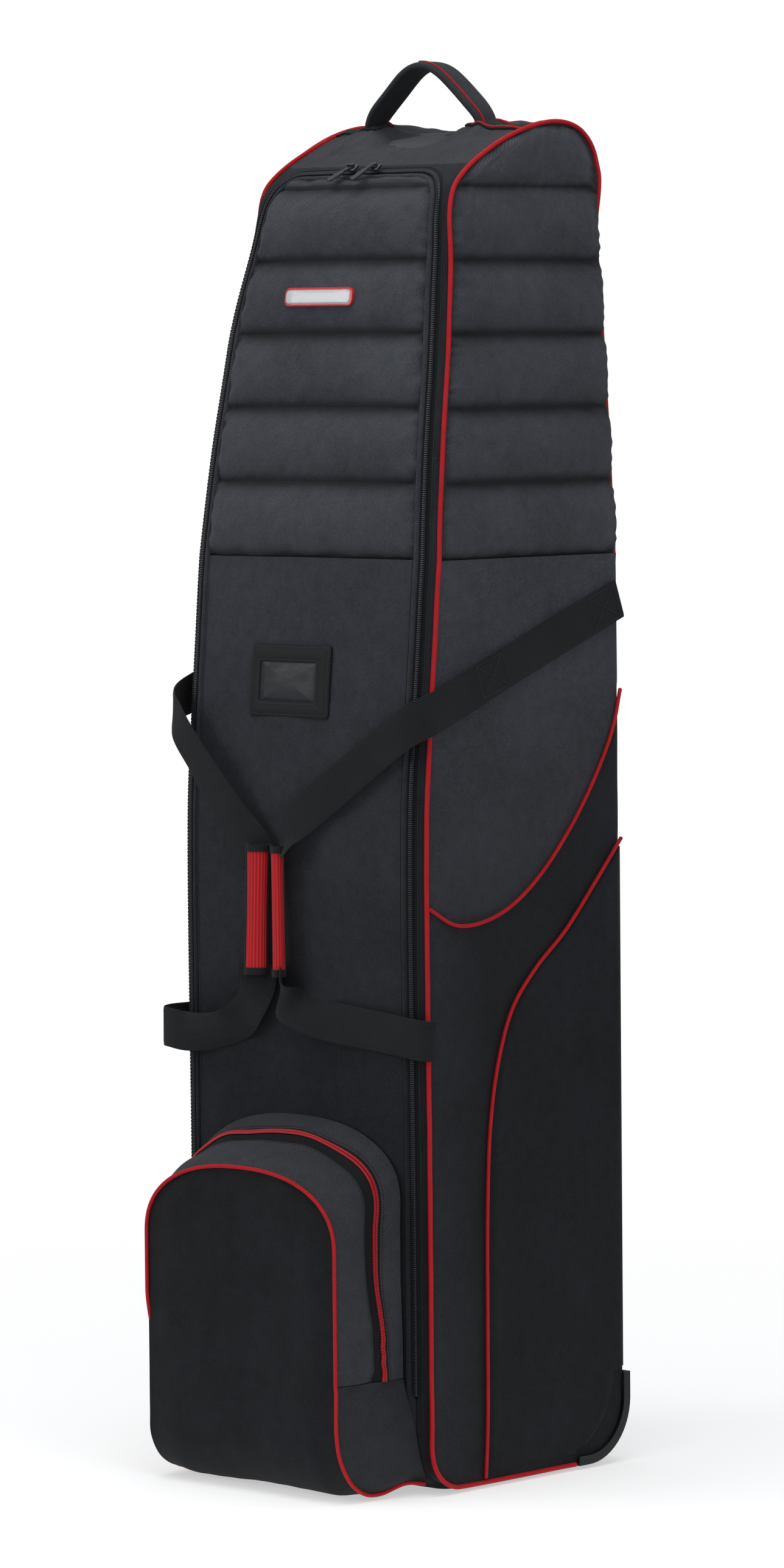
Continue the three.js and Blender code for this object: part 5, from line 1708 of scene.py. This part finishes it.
def pull(name, matrix, reach=27.0):
    """A pull: a ring through the slider's bridge, then a flat tag with notched sides."""
    half = [(-2.6, 1.5), (-3.6, -1.5), (-2.6, -6), (-2.3, -8.5), (-4.3, -11), (-3.2, -14),
            (-4.4, -17), (-3.3, -20), (-4.2, -23), (-2.8, -reach)]
    outline = half + [(-x, y) for x, y in reversed(half)]
    work = bmesh.new()
    low = [work.verts.new((x, y, 3.7)) for x, y in outline]
    face = work.faces.new(low)
    made = bmesh.ops.extrude_face_region(work, geom=[face])
    lifted = [v for v in made["geom"] if isinstance(v, bmesh.types.BMVert)]
    bmesh.ops.translate(work, verts=lifted, vec=(0, 0, 1.7))
    bmesh.ops.recalc_face_normals(work, faces=work.faces)
    bmesh.ops.bevel(work, geom=list(work.edges), offset=0.35, segments=2, affect="EDGES")
    return from_work(name, work, matrix, GUNMETAL)


def zip_hardware():
    normal = np.concatenate([[0], [np.interp(COIL_TOP_S, S, OUTLINE_N[:, k]) for k in (0, 1)]])
    for side, lean in (("left", -28), ("right", -20)):
        pivot = joint_point(f"zip_pull_{side}_hinge")
        matrix = seat(pivot, (1, 0, 0), normal)
        settle(slider(f"zip_slider_{side}", matrix), f"zip_slider_{side}",
               [f"zip_slider_{side}"])
        level = Matrix.Translation((0, 0, -0.9 if side == "left" else 0.9))
        turned = matrix @ Matrix.Rotation(math.radians(lean), 4, "Z") @ level
        settle(pull(f"zip_pull_{side}", turned), f"zip_pull_{side}", [f"zip_pull_{side}"])
    pivot = joint_point("pocket_pull_hinge")
    matrix = seat(pivot, (0, 0, 1), (-1, 0, 0))
    settle(slider("pocket_slider", matrix), "pocket_slider", ["pocket_slider"])
    turned = matrix @ Matrix.Rotation(math.radians(-90), 4, "Z")
    settle(pull("pocket_pull", turned), "pocket_pull", ["pocket_pull"])


# ------------------------------------------------------------------ label holder and badge
def rounded_loop(low, high, radius, per=8):
    """A rounded rectangle as x and z points, anticlockwise."""
    loop = []
    for k, (cx, cz) in enumerate(((high[0], high[1]), (low[0], high[1]), (low[0], low[1]),
                                  (high[0], low[1]))):
        inward = (-1 if cx == high[0] else 1, -1 if cz == high[1] else 1)
        for a in np.linspace(k * 90, k * 90 + 90, per):
            turn = math.radians(a)
            loop.append((cx + inward[0] * radius + radius * math.cos(turn),
                         cz + inward[1] * radius + radius * math.sin(turn)))
    return np.array(loop)


def plate(loops):
    """Points and side faces of a plate on the front, from rings of (points, height)."""
    count = len(loops[0][0])
    points = [surface(p[:, 0], s_front(p[:, 1]), h) for p, h in loops]
    return np.vstack(points), tube_faces(len(loops), count), count


def ring_plate(name, outer, inner, low, high, material):
    soft = 0.6
    middle = lambda a, b, t: a * (1 - t) + b * t
    loops = [(outer, low), (outer, high - soft), (middle(outer, inner, 0.06), high),
             (middle(outer, inner, 0.94), high), (inner, high - soft), (inner, low)]
    points, faces, count = plate(loops)
    last = (len(loops) - 1) * count
    for i in range(count):
        a, b = i, (i + 1) % count
        faces.append((last + a, last + b, b, a))
    return build(name, points, faces, [material], points[:, [0, 2]] * MM)


def dome_plate(name, outer, low, high, material, dome=0.4):
    centre = outer.mean(0)
    loops = [(outer, low), (outer, high - 0.3)]
    loops += [(centre + (outer - centre) * k, high + dome * (1 - k**2))
              for k in (0.96, 0.8, 0.6, 0.4, 0.2)]
    points, faces, count = plate(loops)
    faces += end_faces(len(loops), count)
    return build(name, points, faces, [material], points[:, [0, 2]] * MM)


def door_fittings():
    frame_low, frame_high = corner("id_frame", False), corner("id_frame", True)
    pane_low, pane_high = corner("id_window", False), corner("id_window", True)
    outer = rounded_loop(frame_low[[0, 2]], frame_high[[0, 2]], 4)
    inner = rounded_loop(pane_low[[0, 2]], pane_high[[0, 2]], 2)
    piece = ring_plate("id_frame", outer, inner, -0.6, 1.8, VINYL)
    settle(piece, "door", ["id_frame"])
    pane = rounded_loop(pane_low[[0, 2]] - 0.5, pane_high[[0, 2]] + 0.5, 2)
    settle(dome_plate("id_window", pane, -0.4, 1.0, WINDOW, 0.6), "door", ["id_window"])
    rows = []
    for low, high in ((frame_low[[0, 2]] + 2.6, frame_high[[0, 2]] - 2.6),
                      (pane_low[[0, 2]] - 2.4, pane_high[[0, 2]] + 2.4)):
        loop = rounded_loop(low, high, 3)
        loop = np.vstack([loop, loop[:1]])
        s = s_front(loop[:, 1])
        rows.append(stitch_line(surface(loop[:, 0], s, 1.95), surface_normal(s), 3.0))
    stitches("id_stitches", rows, "door")

    low, high = corner("badge", False), corner("badge", True)
    middle, half = (low + high)[[0, 2]] / 2, (high - low)[[0, 2]] / 2
    rise = PILLOW + 2.6
    border = rounded_loop(middle - half, middle + half, 6)
    face = rounded_loop(middle - half + 2.6, middle + half - 2.6, 4)
    settle(dome_plate("badge", border, rise - 5, rise + 1.2, BADGE_RED), "door", ["badge"])
    settle(dome_plate("badge_face", face, rise - 1, rise + 2.0, BADGE_WHITE), "door", ())


# ------------------------------------------------------------------ hard parts kept from the frame
def bevel(node, width_mm, segments=3):
    made = node.modifiers.new("soft_edges", "BEVEL")
    made.width = width_mm * MM
    made.segments = segments
    made.limit_method = "ANGLE"
    made.angle_limit = math.radians(32)
    made.harden_normals = False


def hard_parts():
    finish = {"wheel_housing": (PLASTIC, 0.9), "tyre": (RUBBER, 0.6), "hub": (PLASTIC, 0.5),
              "axle": (STEEL, 0.4), "base_skid": (PLASTIC, 1.2), "base_board": (BOARD, 0.6),
              "buckle": (PLASTIC, 0.8)}
    for name, node in frame["nodes"].items():
        found = next((v for k, v in finish.items() if name.startswith(k)), None)
        if not found:
            continue
        material, width = found
        node.data.materials.clear()
        node.data.materials.append(material)
        bevel(node, width)
        node.data.shade_smooth()
        node.data.set_sharp_from_angle(angle=math.radians(32))


def cinch_strap():
    low, high = corner("cinch_strap", False), corner("cinch_strap", True)
    y, z = (low[1] + high[1]) / 2, (low[2] + high[2]) / 2
    x = np.linspace(low[0], high[0], 80)
    slack = 1.2 * rumple(x, 0 * x, 60, 131) * smoothstep(140 - abs(x), 0, 30)
    buckle = corner("buckle_socket", False)[0], corner("buckle_tongue", True)[0] + 45
    clear = smoothstep(x, buckle[0] - 25, buckle[0])
    clear = clear * (1 - smoothstep(x, buckle[1], buckle[1] + 25))
    path = np.column_stack([x, y - abs(slack) * (1 - clear), np.full_like(x, z)])
    piece = tape("cinch_strap", path, np.array([0, -1.0, 0]), high[2] - low[2], 1.8, WEBBING)
    settle(piece, "shell", ["cinch_strap"])


# ------------------------------------------------------------------ stage, light and camera
def floor():
    shader = Shader("floor", 0.9, Specular_IOR_Level=0.1)
    shader.set(Base_Color=(0.6, 0.6, 0.6, 1), Emission_Color=(1, 1, 1, 1),
               Emission_Strength=0.5)
    away = shader.node("ShaderNodeVectorMath", {0: shader.coordinates["Object"]},
                       operation="LENGTH").outputs["Value"]
    shader.set(Alpha=shader.range(away, 0.7, 1.7, 1.0, 0.0))
    bpy.ops.mesh.primitive_circle_add(vertices=96, radius=2.2, fill_type="NGON")
    made = bpy.context.object
    made.name = "floor"
    made.data.materials.append(shader.material)


def studio():
    world = bpy.data.worlds.new("studio")
    bpy.context.scene.world = world
    world.use_nodes = True
    nodes, links = world.node_tree.nodes, world.node_tree.links
    shown = nodes["Background"]
    shown.inputs["Color"].default_value = (1, 1, 1, 1)
    shown.inputs["Strength"].default_value = 1.0
    fill = nodes.new("ShaderNodeBackground")
    fill.inputs["Color"].default_value = (0.93, 0.96, 1, 1)
    fill.inputs["Strength"].default_value = 0.42
    pick, path = nodes.new("ShaderNodeMixShader"), nodes.new("ShaderNodeLightPath")
    links.new(path.outputs["Is Camera Ray"], pick.inputs[0])
    links.new(fill.outputs[0], pick.inputs[1])
    links.new(shown.outputs[0], pick.inputs[2])
    links.new(pick.outputs[0], nodes["World Output"].inputs["Surface"])
    lamps = (("overhead", (0.2, -0.6, 3.4), 2.6, 60), ("front_left", (-2.6, -3.4, 1.9), 1.8, 42),
             ("right", (3.6, -1.2, 1.7), 1.8, 30))
    target = Vector((0, 0, 0.75))
    for name, place, size, power in lamps:
        lamp = bpy.data.lights.new(name, "AREA")
        lamp.size, lamp.energy = size, power
        made = bpy.data.objects.new(name, lamp)
        made.location = place
        aim = target - Vector(place)
        made.rotation_euler = aim.to_track_quat("-Z", "Y").to_euler()
        bpy.context.scene.collection.objects.link(made)
    bpy.context.scene.view_settings.view_transform = "Standard"


def camera():
    """A long lens, a little above the middle of the case, looking at its front right corner."""
    azimuth, away, height = math.radians(43.069), 6.49646, 1.10268
    yaw, pitch, roll = azimuth + math.radians(0.092), math.radians(3.89), math.radians(-0.513)
    data = bpy.data.cameras.new("camera")
    data.sensor_width = 36
    data.lens = 154.5
    data.clip_end = 50
    made = bpy.data.objects.new("camera", data)
    bpy.context.scene.collection.objects.link(made)
    ahead = Vector((-math.sin(yaw) * math.cos(pitch), math.cos(yaw) * math.cos(pitch),
                    -math.sin(pitch)))
    right = Vector((math.cos(yaw), math.sin(yaw), 0))
    up = right.cross(ahead)
    across = right * math.cos(roll) + up * math.sin(roll)
    upward = up * math.cos(roll) - right * math.sin(roll)
    made.matrix_world = Matrix((
        (across.x, upward.x, -ahead.x, away * math.sin(azimuth)),
        (across.y, upward.y, -ahead.y, -away * math.cos(azimuth)),
        (across.z, upward.z, -ahead.z, height), (0, 0, 0, 1)))
    bpy.context.scene.camera = made


quilted_pads()
body_panels()
main_zip()
pipings()
carry_straps()
handle()
base_straps()
pocket()
zip_hardware()
door_fittings()
hard_parts()
cinch_strap()
floor()
studio()
camera()
